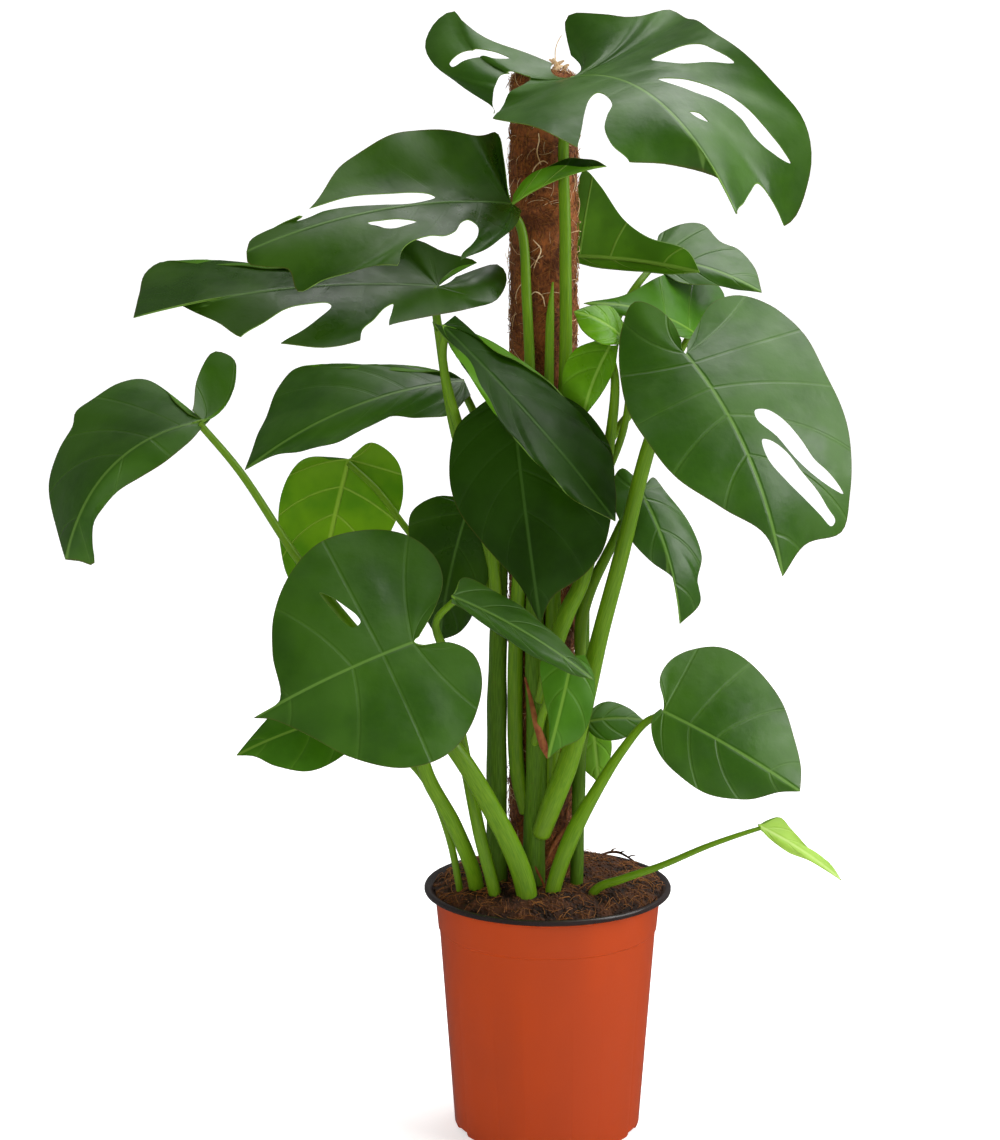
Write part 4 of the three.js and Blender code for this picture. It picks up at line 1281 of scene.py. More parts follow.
LEAVES = (
    Leaf(
        "top_right",
        base=(16, -42, 890),
        tip=(136, -190, 792),
        up=(0.1, -0.5, 0.86),
        arch=38,
        bow=0.2,
        left=((-42, 31, 3), (-59, 38, 10), (-71, 44, 20), (-71, 49, 26), (-49, 64, 31),
            (-31, 75, 31), (-27, 85, 31), (-32, 121, 28), (64, 93, 16), (119, 98, 4),
            (158, 106, -8), (182, 99, -16), (195, 87, -28), (201, 75, -42), (200, 65, -50),
            (209, 32, -26)),
        right=((-34, -6, 5), (-54, 5, 9), (-87, 23, 14), (-116, 26, 15), (-135, 23, 14),
            (-137, 37, 8), (-125, 55, -2), (-101, 62, -8), (-68, 59, -12), (-25, 56, -15),
            (21, 89, -16), (63, 85, -17), (102, 80, -18), (127, 66, -18), (140, 49, -18),
            (155, 22, -16), (178, -10, -14), (194, -11, -8)),
        cuts=(
            ((45, 41), (44, 58), (48, 71), (58, 78), (72, 80), (94, 84), (80, 69), (67, 52)),
            ((77, 23), (86, 40), (102, 53), (117, 62), (134, 70), (152, 76), (167, 81),
                (177, 83), (167, 73), (153, 63), (138, 59), (120, 49), (104, 35)),
            ((126, 17), (128, 25), (137, 28), (133, 20)),
            ((112, -77), (100, -65), (82, -49), (70, -36), (67, -27), (74, -25), (90, -30),
                (99, -41), (109, -50), (124, -53), (141, -48), (150, -62), (142, -90),
                (125, -94)),
            ((-7, -68), (-31, -52), (-37, -46), (-43, -36), (-40, -30), (-29, -24),
                (-23, -22), (-20, -36), (-18, -49), (22, -94), (-7, -92)),
            ((-85, -58), (-87, -50), (-85, -41), (-74, -32), (-65, -25), (-55, -21),
                (-60, -32), (-71, -38), (-77, -50), (-79, -58)),
            ((178, 51), (190, 34), (202, 18), (215, 1), (235, 4), (225, 75), (199, 66),
                (192, 64), (184, 60), (179, 55)),
        ),
    ),
    Leaf(
        "upper_left",
        base=(-31, -35, 790),
        tip=(-236, -130, 759),
        up=(-0.1, -0.5, 0.86),
        arch=16,
        left=((-7, 4, -4), (6, 22, -6), (25, 39, -10), (48, 53, -13), (75, 66, -15),
            (101, 74, -16), (126, 62, -14), (140, 55, -13), (167, 55, -14), (184, 46, -18),
            (202, 42, -24), (203, 24, -14), (220, 16, -8), (230, 9, -5)),
        right=((-2, 13, 6), (-8, 35, 24), (-13, 59, 34), (15, 45, 38), (56, 54, 38), (96, 50, 33),
            (130, 44, 20), (174, 14, 5), (194, 16, 1), (218, 14, -1)),
        tone=Tone.DEEP_SHADED,
        lobes=(
            Leaf(
                "lobe",
                base=(-31, -35, 790),
                tip=(44, -58, 821),
                up=(0, 0, 1),
                arch=5,
                left=((8, 3, 5), (25, 5, 10), (41, 7, 13), (54, 7, 13), (66, 6, 10), (77, 3, 6)),
                right=((5, 3, 5), (16, 4, 10), (34, 5, 12), (47, 5, 10), (67, 3, 3)),
                tone=Tone.DEEP_SHADED,
            ),
        ),
        cuts=(
            ((182, -13), (156, -18), (133, -20), (108, -18), (83, -15), (68, -11), (65, -7),
                (89, -2), (114, -6), (138, -11), (158, -13), (175, -12)),
            ((132, 12), (121, 13), (109, 15), (99, 19), (95, 23), (106, 25), (117, 25),
                (126, 20)),
            ((51, 26), (47, 33), (52, 45), (61, 54), (75, 64), (84, 82), (112, 84),
                (130, 65), (125, 58), (119, 49), (109, 43), (91, 40), (80, 43), (69, 39),
                (59, 29)),
        ),
    ),
    Leaf(
        "mid_left",
        base=(-90, -60, 726),
        tip=(-327, -110, 706),
        up=(-0.05, -0.42, 0.9),
        arch=12,
        left=((-18, -17, 0), (-36, -29, -1), (-58, -37, -3), (-62, -25, -7), (-47, 1, -13),
            (-27, 10, -14), (1, 20, -14), (28, 32, -14), (48, 43, -14), (66, 58, -14),
            (106, 71, -15), (137, 60, -13), (166, 45, -11), (180, 22, -9), (197, -4, -8),
            (211, -23, -7), (223, -27, -6), (234, -17, -4)),
        right=((-6, 9, 4), (-20, 19, 8), (-37, 21, 10), (-25, 28, 12), (-11, 35, 14), (3, 42, 18),
            (18, 43, 20), (46, 57, 24), (82, 51, 16), (106, 30, 6), (130, 32, 2), (152, 45, 0),
            (188, 67, -2), (212, 81, -4), (225, 73, -5), (234, 39, -4)),
        tone=Tone.DEEP_SHADED,
        cuts=(
            ((41, 24), (49, 30), (60, 43), (72, 55), (74, 72), (50, 62), (48, 42), (44, 33)),
            ((165, 45), (146, 37), (126, 26), (108, 23), (93, 24), (91, 29), (104, 42),
                (118, 52), (136, 60), (156, 74), (180, 62)),
        ),
    ),
    Leaf(
        "far_left",
        base=(-279, -60, 618),
        tip=(-387, -100, 512),
        up=(-0.3, -0.55, 0.75),
        arch=34,
        left=((0, -10, 8), (-24, -37, 16), (-49, -47, 20), (-56, -33, 12), (-49, -22, 8),
            (-27, -18, 2), (1, 1, -4), (21, 14, -9), (47, 21, -12), (68, 17, -14), (90, 8, -15),
            (105, 5, -15), (121, 4, -14), (133, 6, -20), (143, 8, -28), (150, 5, -12)),
        right=((4, 12, 3), (3, 36, 2), (0, 66, 0), (5, 88, -2), (22, 93, -3), (47, 92, -6),
            (64, 91, -8), (74, 82, -10), (96, 79, -12), (119, 70, -14), (135, 50, -12),
            (148, 20, -5)),
    ),
    Leaf(
        "left_drooping",
        base=(-70, 10, 642),
        tip=(-250, -20, 572),
        up=(-0.15, -0.6, 0.8),
        arch=20,
        left=((1, 19, 0), (27, 34, -6), (50, 26, -8), (72, 15, -10), (107, 18, -12),
            (135, 15, -10), (173, 1, -4)),
        right=((8, 9, 4), (43, 23, 0), (89, 50, -2), (127, 75, -4), (164, 42, -6)),
    ),
    Leaf(
        "centre_folded",
        base=(-86, -90, 698),
        tip=(50, -130, 548),
        up=(0.5, -0.65, 0.6),
        arch=6,
        left=((-1, 18, 0), (44, 18, 4), (66, 31, 4), (107, 44, 0), (143, 47, -4), (165, 46, -6),
            (190, 22, -4)),
        right=((2, 10, 0), (-7, 7, 2), (7, 10, 2), (35, 9, 2), (62, 20, 2), (100, 29, 0),
            (149, 23, -2), (174, 19, -2)),
        # Painted shade: this leaf takes the darker face because it lies in the shadow of the leaves
        # above.
        tone=Tone.DARK,
    ),
    Leaf(
        "centre_dark",
        base=(-31, -62, 637),
        tip=(-8, -95, 459),
        up=(-0.1, -0.85, 0.5),
        arch=14,
        left=((-4, 7, 2), (-1, 31, 0), (17, 57, -4), (52, 74, -8), (92, 70, -8), (129, 58, -8),
            (148, 40, -6), (163, 12, -2)),
        right=((-6, 9, 2), (3, 27, 0), (18, 47, -4), (51, 57, -8), (80, 55, -8), (112, 38, -6),
            (151, 12, -4)),
        # Painted shade: this leaf takes the darker face because it lies in the shadow of the leaves
        # above.
        tone=Tone.DARK,
    ),
    Leaf(
        "right_split",
        base=(106, -95, 676),
        tip=(180, -150, 508),
        up=(0.15, -0.75, 0.65),
        arch=30,
        left=((-7, 5, 2), (-19, 22, 0), (-34, 45, -2), (-33, 72, -4), (-15, 95, -8),
            (17, 104, -12), (60, 100, -14), (105, 97, -16), (151, 79, -14), (175, 65, -12),
            (175, 28, -8)),
        right=((-12, -3, 2), (-30, -5, 0), (-47, 1, -4), (-57, 14, -8), (-40, 31, -14),
            (-5, 52, -14), (32, 67, -12), (62, 67, -10), (96, 58, -8), (128, 33, -6),
            (158, 7, -2)),
        cuts=(
            ((65, 23), (67, 33), (79, 43), (98, 50), (116, 55), (129, 64), (140, 70),
                (149, 73), (142, 63), (126, 48), (110, 38), (90, 30), (73, 21)),
            ((89, 17), (92, 24), (104, 33), (122, 40), (140, 49), (155, 55), (166, 60),
                (169, 55), (158, 46), (143, 35), (126, 24), (105, 15)),
        ),
    ),
    Leaf(
        "front_round",
        base=(-109, -140, 453),
        tip=(-233, -170, 399),
        up=(-0.15, -0.85, 0.5),
        arch=8,
        left=((-5, 6, 2), (-26, 12, 0), (-39, 28, -4), (-36, 49, -8), (-12, 79, -10),
            (18, 94, -10), (52, 90, -10), (85, 63, -8), (108, 31, -4), (126, 8, -2)),
        right=((-6, 2, 2), (-30, 21, 0), (-46, 42, -4), (-48, 66, -6), (-36, 91, -8),
            (-9, 110, -10), (27, 115, -12), (62, 99, -12), (88, 73, -10), (103, 42, -8),
            (115, 2, -2)),
        cuts=(
            ((48, -72), (41, -64), (35, -52), (30, -40), (30, -33), (37, -31), (42, -39),
                (46, -56)),
        ),
    ),
    Leaf(
        "back_left",
        base=(-169, 60, 569),
        tip=(-195, 30, 449),
        up=(-0.1, 0.9, 0.4),
        arch=8,
        left=((5, 6, 0), (4, 28, 0), (12, 41, 0), (42, 50, -4), (81, 43, -6), (111, 28, -4)),
        right=((-4, 2, 0), (-18, 15, -2), (-8, 40, -4), (15, 51, -8), (43, 51, -8), (89, 35, -4)),
        # Its under face shows, and takes the pale back with its painted glow of light shining
        # through the blade.
        tone=Tone.FRESH,
    ),
    Leaf(
        "low_left",
        base=(-165, -70, 377),
        tip=(-255, -85, 347),
        up=(-0.15, -0.7, 0.7),
        arch=6,
        left=((-3, 8, 0), (5, 27, -4), (24, 37, -6), (47, 36, -8), (69, 22, -6), (82, 8, -2)),
        right=((-6, 9, 0), (-5, 25, 0), (21, 37, -2), (55, 26, -4)),
        tone=Tone.FRESH,
    ),
    Leaf(
        "behind_left",
        base=(-66, 10, 538),
        tip=(-91, -12, 427),
        up=(-0.3, -0.8, 0.5),
        arch=8,
        left=((-1, 7, 0), (12, 23, -4), (45, 32, -6), (80, 27, -6), (105, 17, -2)),
        right=((-5, 9, 0), (-1, 33, -2), (16, 51, -6), (39, 48, -8), (71, 35, -8), (98, 18, -4)),
        # Partly painted shade: this leaf lies behind and under others.
        tone=Tone.DEEP_SHADED,
    ),
    Leaf(
        "centre_edge",
        base=(-78, -125, 487),
        tip=(33, -140, 423),
        up=(0.25, -0.45, 0.85),
        arch=6,
        left=((0, 7, 2), (-1, 25, 2), (22, 26, 2), (55, 25, 0), (91, 18, -2), (113, 10, -2)),
        right=((2, 6, -2), (11, 4, -4), (31, 4, -8), (65, 10, -8), (90, 10, -6), (114, 5, -4)),
    ),
    Leaf(
        "centre_low",
        base=(18, -92, 432),
        tip=(-2, -110, 351),
        up=(0.15, -0.85, 0.5),
        arch=6,
        left=((-3, 10, 0), (15, 22, -4), (39, 26, -6), (63, 22, -6), (74, 9, -2)),
        right=((-2, 11, 0), (10, 24, -4), (33, 17, -6), (59, 5, -4)),
        tone=Tone.FRESH,
    ),
    Leaf(
        "small_right",
        base=(31, -5, 355),
        tip=(80, -5, 357),
        up=(0, -0.6, 0.8),
        arch=4,
        left=((3, 4, 0), (10, 17, -2), (20, 21, -3), (36, 14, -2)),
        right=((2, 4, 0), (8, 16, -2), (23, 22, -2), (40, 14, -2)),
        tone=Tone.FRESH,
    ),
    Leaf(
        "small_back",
        base=(39, 60, 340),
        tip=(45, 62, 285),
        up=(0.1, -0.9, 0.4),
        arch=3,
        left=((-2, 7, 0), (20, 15, -2), (44, 9, -2)),
        right=((-3, 6, 0), (15, 15, -2), (38, 13, -2)),
        tone=Tone.YOUNG,
    ),
    Leaf(
        "low_right",
        base=(95, -40, 373),
        tip=(207, -60, 310),
        up=(0.1, -0.85, 0.5),
        arch=8,
        left=((-1, 6, 2), (-16, 23, 0), (-17, 42, -4), (-7, 61, -6), (14, 76, -8), (43, 76, -8),
            (79, 61, -8), (106, 37, -6), (122, 17, -2)),
        right=((-3, -1, 2), (-6, 8, 0), (4, 25, -4), (25, 38, -6), (61, 43, -8), (94, 30, -8),
            (116, 9, -4)),
    ),
    Leaf(
        "young_rolled",
        base=(172, -75, 285),
        tip=(239, -90, 243),
        up=(0.3, -0.6, 0.75),
        arch=4,
        left=((3, 5, 2), (11, 17, 2), (24, 12, 2), (48, 5, 0), (66, 6, 0)),
        right=((2, 1, -2), (13, 2, -4), (33, 5, -5), (52, 1, -3)),
        tone=Tone.PALE,
    ),
    Leaf(
        "right_small",
        base=(75, -20, 555),
        tip=(107, -45, 448),
        up=(0.3, -0.8, 0.45),
        arch=14,
        left=((-4, 7, 0), (-8, 16, 0), (9, 23, -4), (42, 33, -8), (66, 34, -8), (84, 25, -8),
            (102, 24, -6)),
        right=((-11, -1, 0), (-22, 8, 0), (-15, 17, -4), (6, 26, -6), (34, 24, -8), (59, 12, -8),
            (78, -5, -8), (96, -7, -4)),
    ),
    Leaf(
        "back_right_high",
        base=(18, 52, 742),
        tip=(126, 42, 729),
        up=(0.1, 0.88, 0.45),
        arch=6,
        left=((4, 5, -2), (26, 7, -6), (62, 5, -8), (85, 4, -6)),
        right=((0, 15, 0), (0, 49, 0), (5, 83, -2), (19, 70, -2), (42, 38, -2), (63, 25, -2),
            (96, 18, 0)),
    ),
    Leaf(
        "back_right_low",
        base=(89, 82, 737),
        tip=(179, 55, 711),
        up=(0.2, -0.6, 0.8),
        arch=8,
        left=((-5, 24, 0), (-7, 38, 0), (5, 52, 0), (23, 60, -2), (46, 43, -4), (63, 41, -4),
            (80, 30, -4)),
        right=((7, 11, -2), (30, 23, -4), (63, 10, -6), (79, 4, -6)),
    ),
    Leaf(
        "right_pale",
        base=(122, 30, 679),
        tip=(28, 0, 707),
        up=(-0.3, -0.6, 0.75),
        arch=10,
        left=((6, 10, -2), (24, 12, -4), (37, 6, -6), (51, 4, -6), (76, 7, -4)),
        right=((-17, 24, 0), (-40, 69, -2), (-22, 89, -2), (-3, 81, 0), (31, 50, 0), (71, 13, -2)),
        tone=Tone.FRESH,
    ),
    Leaf(
        "young_crumpled",
        base=(48, -60, 679),
        tip=(26, -60, 620),
        up=(-0.3, -0.8, 0.5),
        arch=6,
        left=((-3, 6, 0), (17, 11, -4), (40, 8, -4)),
        right=((-1, 11, 0), (14, 27, -2), (37, 30, -4), (56, 19, -2)),
        tone=Tone.YOUNG,
    ),
    Leaf(
        "young_small",
        base=(57, -70, 686),
        tip=(18, -70, 707),
        up=(0, -0.6, 0.8),
        arch=5,
        left=((1, 8, -2), (15, 18, -4), (32, 15, -3)),
        right=((3, 13, 0), (18, 22, -2), (34, 13, -2)),
        tone=Tone.YOUNG,
    ),
)

STEMS = (
    Route("stem_front", ((-14, -46, 150), (-13, -42, 230), (-10, -38, 330), (-12, -38, 450),
          (-6, -37, 590)),
          (9, 9, 8, 7, 5)),
    Route("stem_left", ((-42, -30, 150), (-43, -27, 260), (-43, -23, 380), (-40, -18, 500)),
          (8, 8, 7.5, 5.5)),
    Route("stem_right", ((23, -34, 150), (24, -31, 230), (26, -26, 340), (28, -18, 450),
          (28, -12, 560)),
          (5, 5, 5, 5.5, 5)),
    Route("stem_back", ((0, 40, 150), (-2, 37, 300), (2, 36, 500), (4, 35, 640)),
          (8, 8, 7, 5)),
)

STALKS = (
    Route("top_right", ((3, -36, 290), (3, -37, 430), (5, -36, 560), (12, -34, 640), (12, -34, 760),
          (11, -35, 850)),
          (6.5, 6.5, 6, 5.5, 4.8, 4.2, 3.2)),
    Route("upper_left", ((-18, -35, 283), (-26, -31, 320), (-28, -31, 400), (-24, -36, 500),
          (-17, -42, 600), (-16, -42, 640), (-19, -38, 715), (-24, -36, 772)),
          (6, 6.5, 6.5, 6, 5, 4.4, 4.2, 3.8, 3)),
    Route("mid_left", ((-40, -18, 470), (-58, -26, 540), (-78, -36, 610), (-90, -48, 690)),
          (5.5, 4.5, 4, 3.6, 2.8)),
    Route("far_left", ((-16, -66, 175), (-20, -63, 232), (-50, -80, 306), (-82, -95, 362),
          (-150, -80, 440), (-203, -64, 504), (-251, -58, 577)),
          (8, 9, 8, 7, 4.5, 3.6, 3.2, 2.6)),
    Route("left_drooping", ((-39, -14, 480), (-38, 14, 540), (-56, 16, 600)),
          (5, 4.2, 3.6, 2.8)),
    Route("centre_folded", ((-42, -32, 440), (-50, -38, 530), (-72, -46, 605), (-86, -76, 668)),
          (5.5, 4.5, 4, 3.6, 2.8)),
    Route("centre_dark", ((-11, -42, 488), (-20, -57, 530), (-31, -58, 606)),
          (5, 4, 3.4, 2.8)),
    Route("right_split", ((-8, -54, 268), (3, -57, 300), (14, -56, 329), (23, -53, 360),
          (32, -49, 397), (42, -46, 440), (57, -54, 502), (79, -64, 597), (96, -82, 650)),
          (8, 9, 9, 8.5, 8, 7, 6.5, 6, 4.5, 3.2)),
    Route("front_round", ((-59, -36, 175), (-61, -39, 226), (-78, -66, 282), (-101, -92, 336),
          (-112, -122, 410)),
          (6, 6.5, 6.5, 6, 5, 3.2)),
    Route("back_left", ((-2, 37, 360), (-40, 46, 430), (-110, 44, 500), (-146, 52, 545)),
          (4.5, 3.6, 3, 2.8, 2.2)),
    Route("low_left", ((-68, -28, 175), (-84, -44, 270), (-106, -66, 326), (-140, -70, 358)),
          (3.2, 3, 2.6, 2.4, 2)),
    Route("behind_left", ((-41, -20, 440), (-52, -6, 485), (-62, 8, 518)),
          (4, 3.4, 3, 2.4)),
    Route("centre_edge", ((-38, -52, 175), (-45, -56, 223), (-57, -64, 274), (-70, -70, 345),
          (-84, -92, 430), (-91, -118, 466)),
          (5, 5.5, 5.5, 5, 4, 3, 2.4)),
    Route("centre_low", ((-12, -43, 345), (-4, -58, 380), (8, -76, 412)),
          (4, 3.4, 3, 2.4)),
    Route("small_right", ((26, -28, 305), (30, -14, 338)),
          (3.2, 2.6, 2)),
    Route("small_back", ((24, 14, 175), (24, 24, 240), (24, 60, 285), (34, 72, 322)),
          (5, 5, 4, 2.2)),
    Route("low_right", ((0, -56, 175), (3, -57, 222), (20, -58, 274), (40, -52, 310),
          (60, -44, 340), (82, -36, 364)),
          (6, 6.5, 7, 5, 4, 3.2, 2.6)),
    Route("young_rolled", ((30, -48, 175), (38, -53, 222), (62, -62, 236), (92, -69, 249),
          (130, -76, 268), (160, -76, 279)),
          (4, 4, 3.4, 2.8, 2.4, 2, 1.6)),
    Route("right_small", ((26, -22, 410), (27, -30, 450), (34, -32, 475),
          (52, -28, 512), (62, -26, 534)),
          (4.5, 5.5, 5, 4, 3, 2.4)),
    Route("back_right_high", ((4, 36, 600), (8, 44, 680), (10, 46, 720)),
          (5, 4.2, 3.6, 2.8)),
    Route("back_right_low", ((4, 36, 560), (34, 52, 640), (70, 60, 710)),
          (4.6, 3.8, 3.2, 2.4)),
    Route("right_pale", ((4, 36, 520), (60, 38, 600), (104, 36, 655)),
          (4.6, 3.8, 3.2, 2.4)),
    Route("young_crumpled", ((-8, -48, 382), (-2, -53, 406), (5, -55, 434), (15, -54, 461),
          (27, -51, 487), (44, -47, 570), (52, -56, 650)),
          (4.5, 6, 7, 7, 6.5, 5, 3.6, 2.4)),
    Route("young_small", ((30, -12, 530), (60, -44, 610), (62, -62, 662)),
          (3.6, 3, 2.6, 2)),
)

SHEATHS = (
    Route("dry_sheath", ((-20, -43, 403), (-15.7, -46, 387), (-10.9, -54, 367), (-4.5, -52, 347),
          (-1, -51, 336)), (0.8, 1.6, 2.6, 3.6, 1)),
    Route("sheath_edge", ((-21, -37, 263), (-17.2, -48, 254), (-10.5, -51, 241), (-5, -52, 230),
          (-2, -53, 219)), (0.5, 0.9, 1.1, 0.9, 0.5)),
    Route("sheath_strip", ((17.7, -22, 272), (12.5, -26, 266), (6.6, -28.5, 258), (1.5, -29.5, 249),
          (-2.7, -30, 239)), (0.6, 1.4, 1.8, 1.2, 0.6)),
)

WISP = (0.4, 0.5, 0.5, 0.3)

WISPS = (
    Route("wisp_long", ((-9.6, -27.5, 846), (-9.2, -28.2, 840), (-10.8, -27.9, 831),
          (-7.6, -28.9, 821)), WISP),
    Route("wisp_bent", ((-14.5, -26.4, 815), (-11.6, -28.2, 820), (-6, -29.3, 824),
          (-2, -29, 822)), WISP),
    Route("wisp_curl", ((-13.9, -27.8, 761), (-7.4, -29, 753), (-11.4, -27.9, 743),
          (-13, -27.4, 738)), WISP),
    Route("wisp_hook", ((-17, -27, 714), (-12.2, -28.9, 719), (-6.5, -29, 716),
          (-4, -28.8, 707)), WISP),
    Route("tuft_left", ((-4, -9, 891), (-2, -11, 898), (3, -11, 902)), (2, 2, 0.8)),
    Route("tuft_low", ((1, -13, 891), (5, -14, 897), (10, -13, 899)), (2, 1.8, 0.8)),
    Route("tuft_middle", ((4, -10, 891), (5, -12, 899), (2, -12, 905)), (2.2, 1.9, 0.8)),
    Route("tuft_right", ((10, -8, 891), (12, -10, 898), (15, -11, 900)), (2.1, 1.8, 0.8)),
    Route("tuft_cross", ((0, -4, 891), (6, -7, 900), (11, -8, 903)), (2, 1.8, 0.8)),
    Route("tuft_back", ((7, -3, 891), (4, -5, 901), (-1, -7, 904)), (2, 1.8, 0.8)),
    Route("thread", ((5, -6, 893), (4, -8, 903), (4, -8, 911), (6, -8, 918), (9, -8, 923)),
          (0.5, 0.45, 0.4, 0.4, 0.3)),
)

ROOTS = (
    Route("root", ((44, 62, 218), (55, 69, 220), (63, 69, 220), (70, 64, 218), (80, 56, 213)),
          (0.9, 1.2, 1.2, 1, 0.6)),
    Route("root_twig", ((56, 69, 219), (58, 70, 222), (61, 71, 223)), (0.9, 0.8, 0.4)),
    Route("root_spur", ((64, 68, 219), (66, 67, 221), (69, 67, 222)), (0.9, 0.7, 0.4)),
    Route("root_tip", ((71, 63, 217), (74, 62, 219), (78, 62, 219)), (0.8, 0.7, 0.4)),
)


# ---------------------------------------------------------------- scattered bits


@dataclass(frozen=True)
class Scatter:
    """Fibres or crumbs spread over a surface by a node tree.

    A fibre is a bent line of some steps with a thin section, and a crumb is a small ball. Each
    is turned at random, leans by up to the tilt, and has a size between two shares.
    """

    name: str
    density: float
    length: float
    thickness: float
    bow: float
    seed: int
    tilt: float
    crumbs: bool = False
    smallest: float = 0.55
    largest: float = 1.35
    steps: int = 5
    sides: int = 3
    start: Point = (-0.5, 0, 0)
    end: Point = (0.5, 0.1, 0)

    def tree(self, material: bpy.types.Material) -> bpy.types.NodeTree:
        """Builds the node tree: points on the surface, one bit at each, made real.

        Args:
            material: The bits' finish.

        Returns:
            The tree.
        """
        group = bpy.data.node_groups.new(self.name, "GeometryNodeTree")
        face = group.interface
        face.new_socket("Surface", in_out="INPUT", socket_type="NodeSocketGeometry")
        for label in ("Density", "Length", "Thickness", "Bow", "Tilt"):
            face.new_socket(label, in_out="INPUT", socket_type="NodeSocketFloat")
        face.new_socket("Seed", in_out="INPUT", socket_type="NodeSocketInt")
        face.new_socket("Bits", in_out="OUTPUT", socket_type="NodeSocketGeometry")
        tree = Tree(group)
        given = tree.add("NodeGroupInput", {}).outputs
        seed, tilt = given["Seed"], given["Tilt"]
        spots = {"Mesh": given["Surface"], "Density": given["Density"], "Seed": seed}
        points = tree.add("GeometryNodeDistributePointsOnFaces", spots).outputs
        limits = tree.add("ShaderNodeCombineXYZ", {0: tilt, 1: tilt, 2: 2 * math.pi}).outputs[0]
        flip = tree.add("ShaderNodeVectorMath", {0: limits, 1: (-1, -1, 0)}, operation="MULTIPLY")
        angles = {"Min": flip.outputs[0], "Max": limits, "Seed": seed}
        turn = tree.add("FunctionNodeRandomValue", angles, data_type="FLOAT_VECTOR").outputs[0]
        lying = {"Rotation": points["Rotation"], "Rotate By": turn}
        spin = tree.add("FunctionNodeRotateRotation", lying, rotation_space="LOCAL").outputs[0]
        # The number sockets of a random value share their names with others, so they go by index.
        sizes = {2: self.smallest, 3: self.largest}
        size = tree.add("FunctionNodeRandomValue", sizes, data_type="FLOAT").outputs[1]
        bits = {"Points": points["Points"], "Instance": self.bit(tree, given)}
        bits |= {"Rotation": spin, "Scale": size}
        placed = tree.add("GeometryNodeInstanceOnPoints", bits).outputs[0]
        real = tree.add("GeometryNodeRealizeInstances", {0: placed}).outputs[0]
        dressed = tree.add("GeometryNodeSetMaterial", {"Geometry": real, "Material": material})
        tree.add("NodeGroupOutput", {0: dressed.outputs[0]})
        return group

    def bit(self, tree: Tree, given: bpy.types.NodeOutputs) -> Socket:
        """The nodes of one fibre or crumb.

        Args:
            tree: The tree to add them to.
            given: The tree's inputs.

        Returns:
            The socket with its geometry.
        """
        thickness, bow = given["Thickness"], given["Bow"]
        if self.crumbs:
            ball = {"Subdivisions": 1, "Radius": thickness}
            return tree.add("GeometryNodeMeshIcoSphere", ball).outputs["Mesh"]
        arc = {"Resolution": self.steps}
        for name, share in (("Start", self.start), ("End", self.end)):
            scaled = {0: share, "Scale": given["Length"]}
            arc[name] = tree.add("ShaderNodeVectorMath", scaled, operation="SCALE").outputs[0]
        arc["Middle"] = tree.add("ShaderNodeCombineXYZ", {1: bow, 2: bow}).outputs[0]
        line = tree.add("GeometryNodeCurveQuadraticBezier", arc).outputs[0]
        ring = {"Resolution": self.sides, "Radius": thickness}
        section = tree.add("GeometryNodeCurvePrimitiveCircle", ring).outputs[0]
        tube = {"Curve": line, "Profile Curve": section, "Fill Caps": True}
        return tree.add("GeometryNodeCurveToMesh", tube).outputs[0]

    def spread(self, surface: bpy.types.Object, material: bpy.types.Material) -> bpy.types.Object:
        """Spreads the bits over a surface.

        Args:
            surface: Where they lie.
            material: Their finish.

        Returns:
            A plain mesh of all the bits.
        """
        piece = surface.copy()
        piece.data = surface.data.copy()
        piece.name = self.name
        bpy.context.scene.collection.objects.link(piece)
        modifier = piece.modifiers.new("bits", "NODES")
        modifier.node_group = self.tree(material)
        values = {
            "Density": self.density,
            "Length": self.length * MM,
            "Thickness": self.thickness * MM,
            "Bow": self.bow * MM,
            "Tilt": self.tilt,
            "Seed": self.seed,
        }
        for socket in modifier.node_group.interface.items_tree:
            if socket.name in values:
                modifier[socket.identifier] = values[socket.name]
        settle(piece)
        for polygon in piece.data.polygons:
            polygon.use_smooth = True
        return piece


# ---------------------------------------------------------------- pole, soil and pot


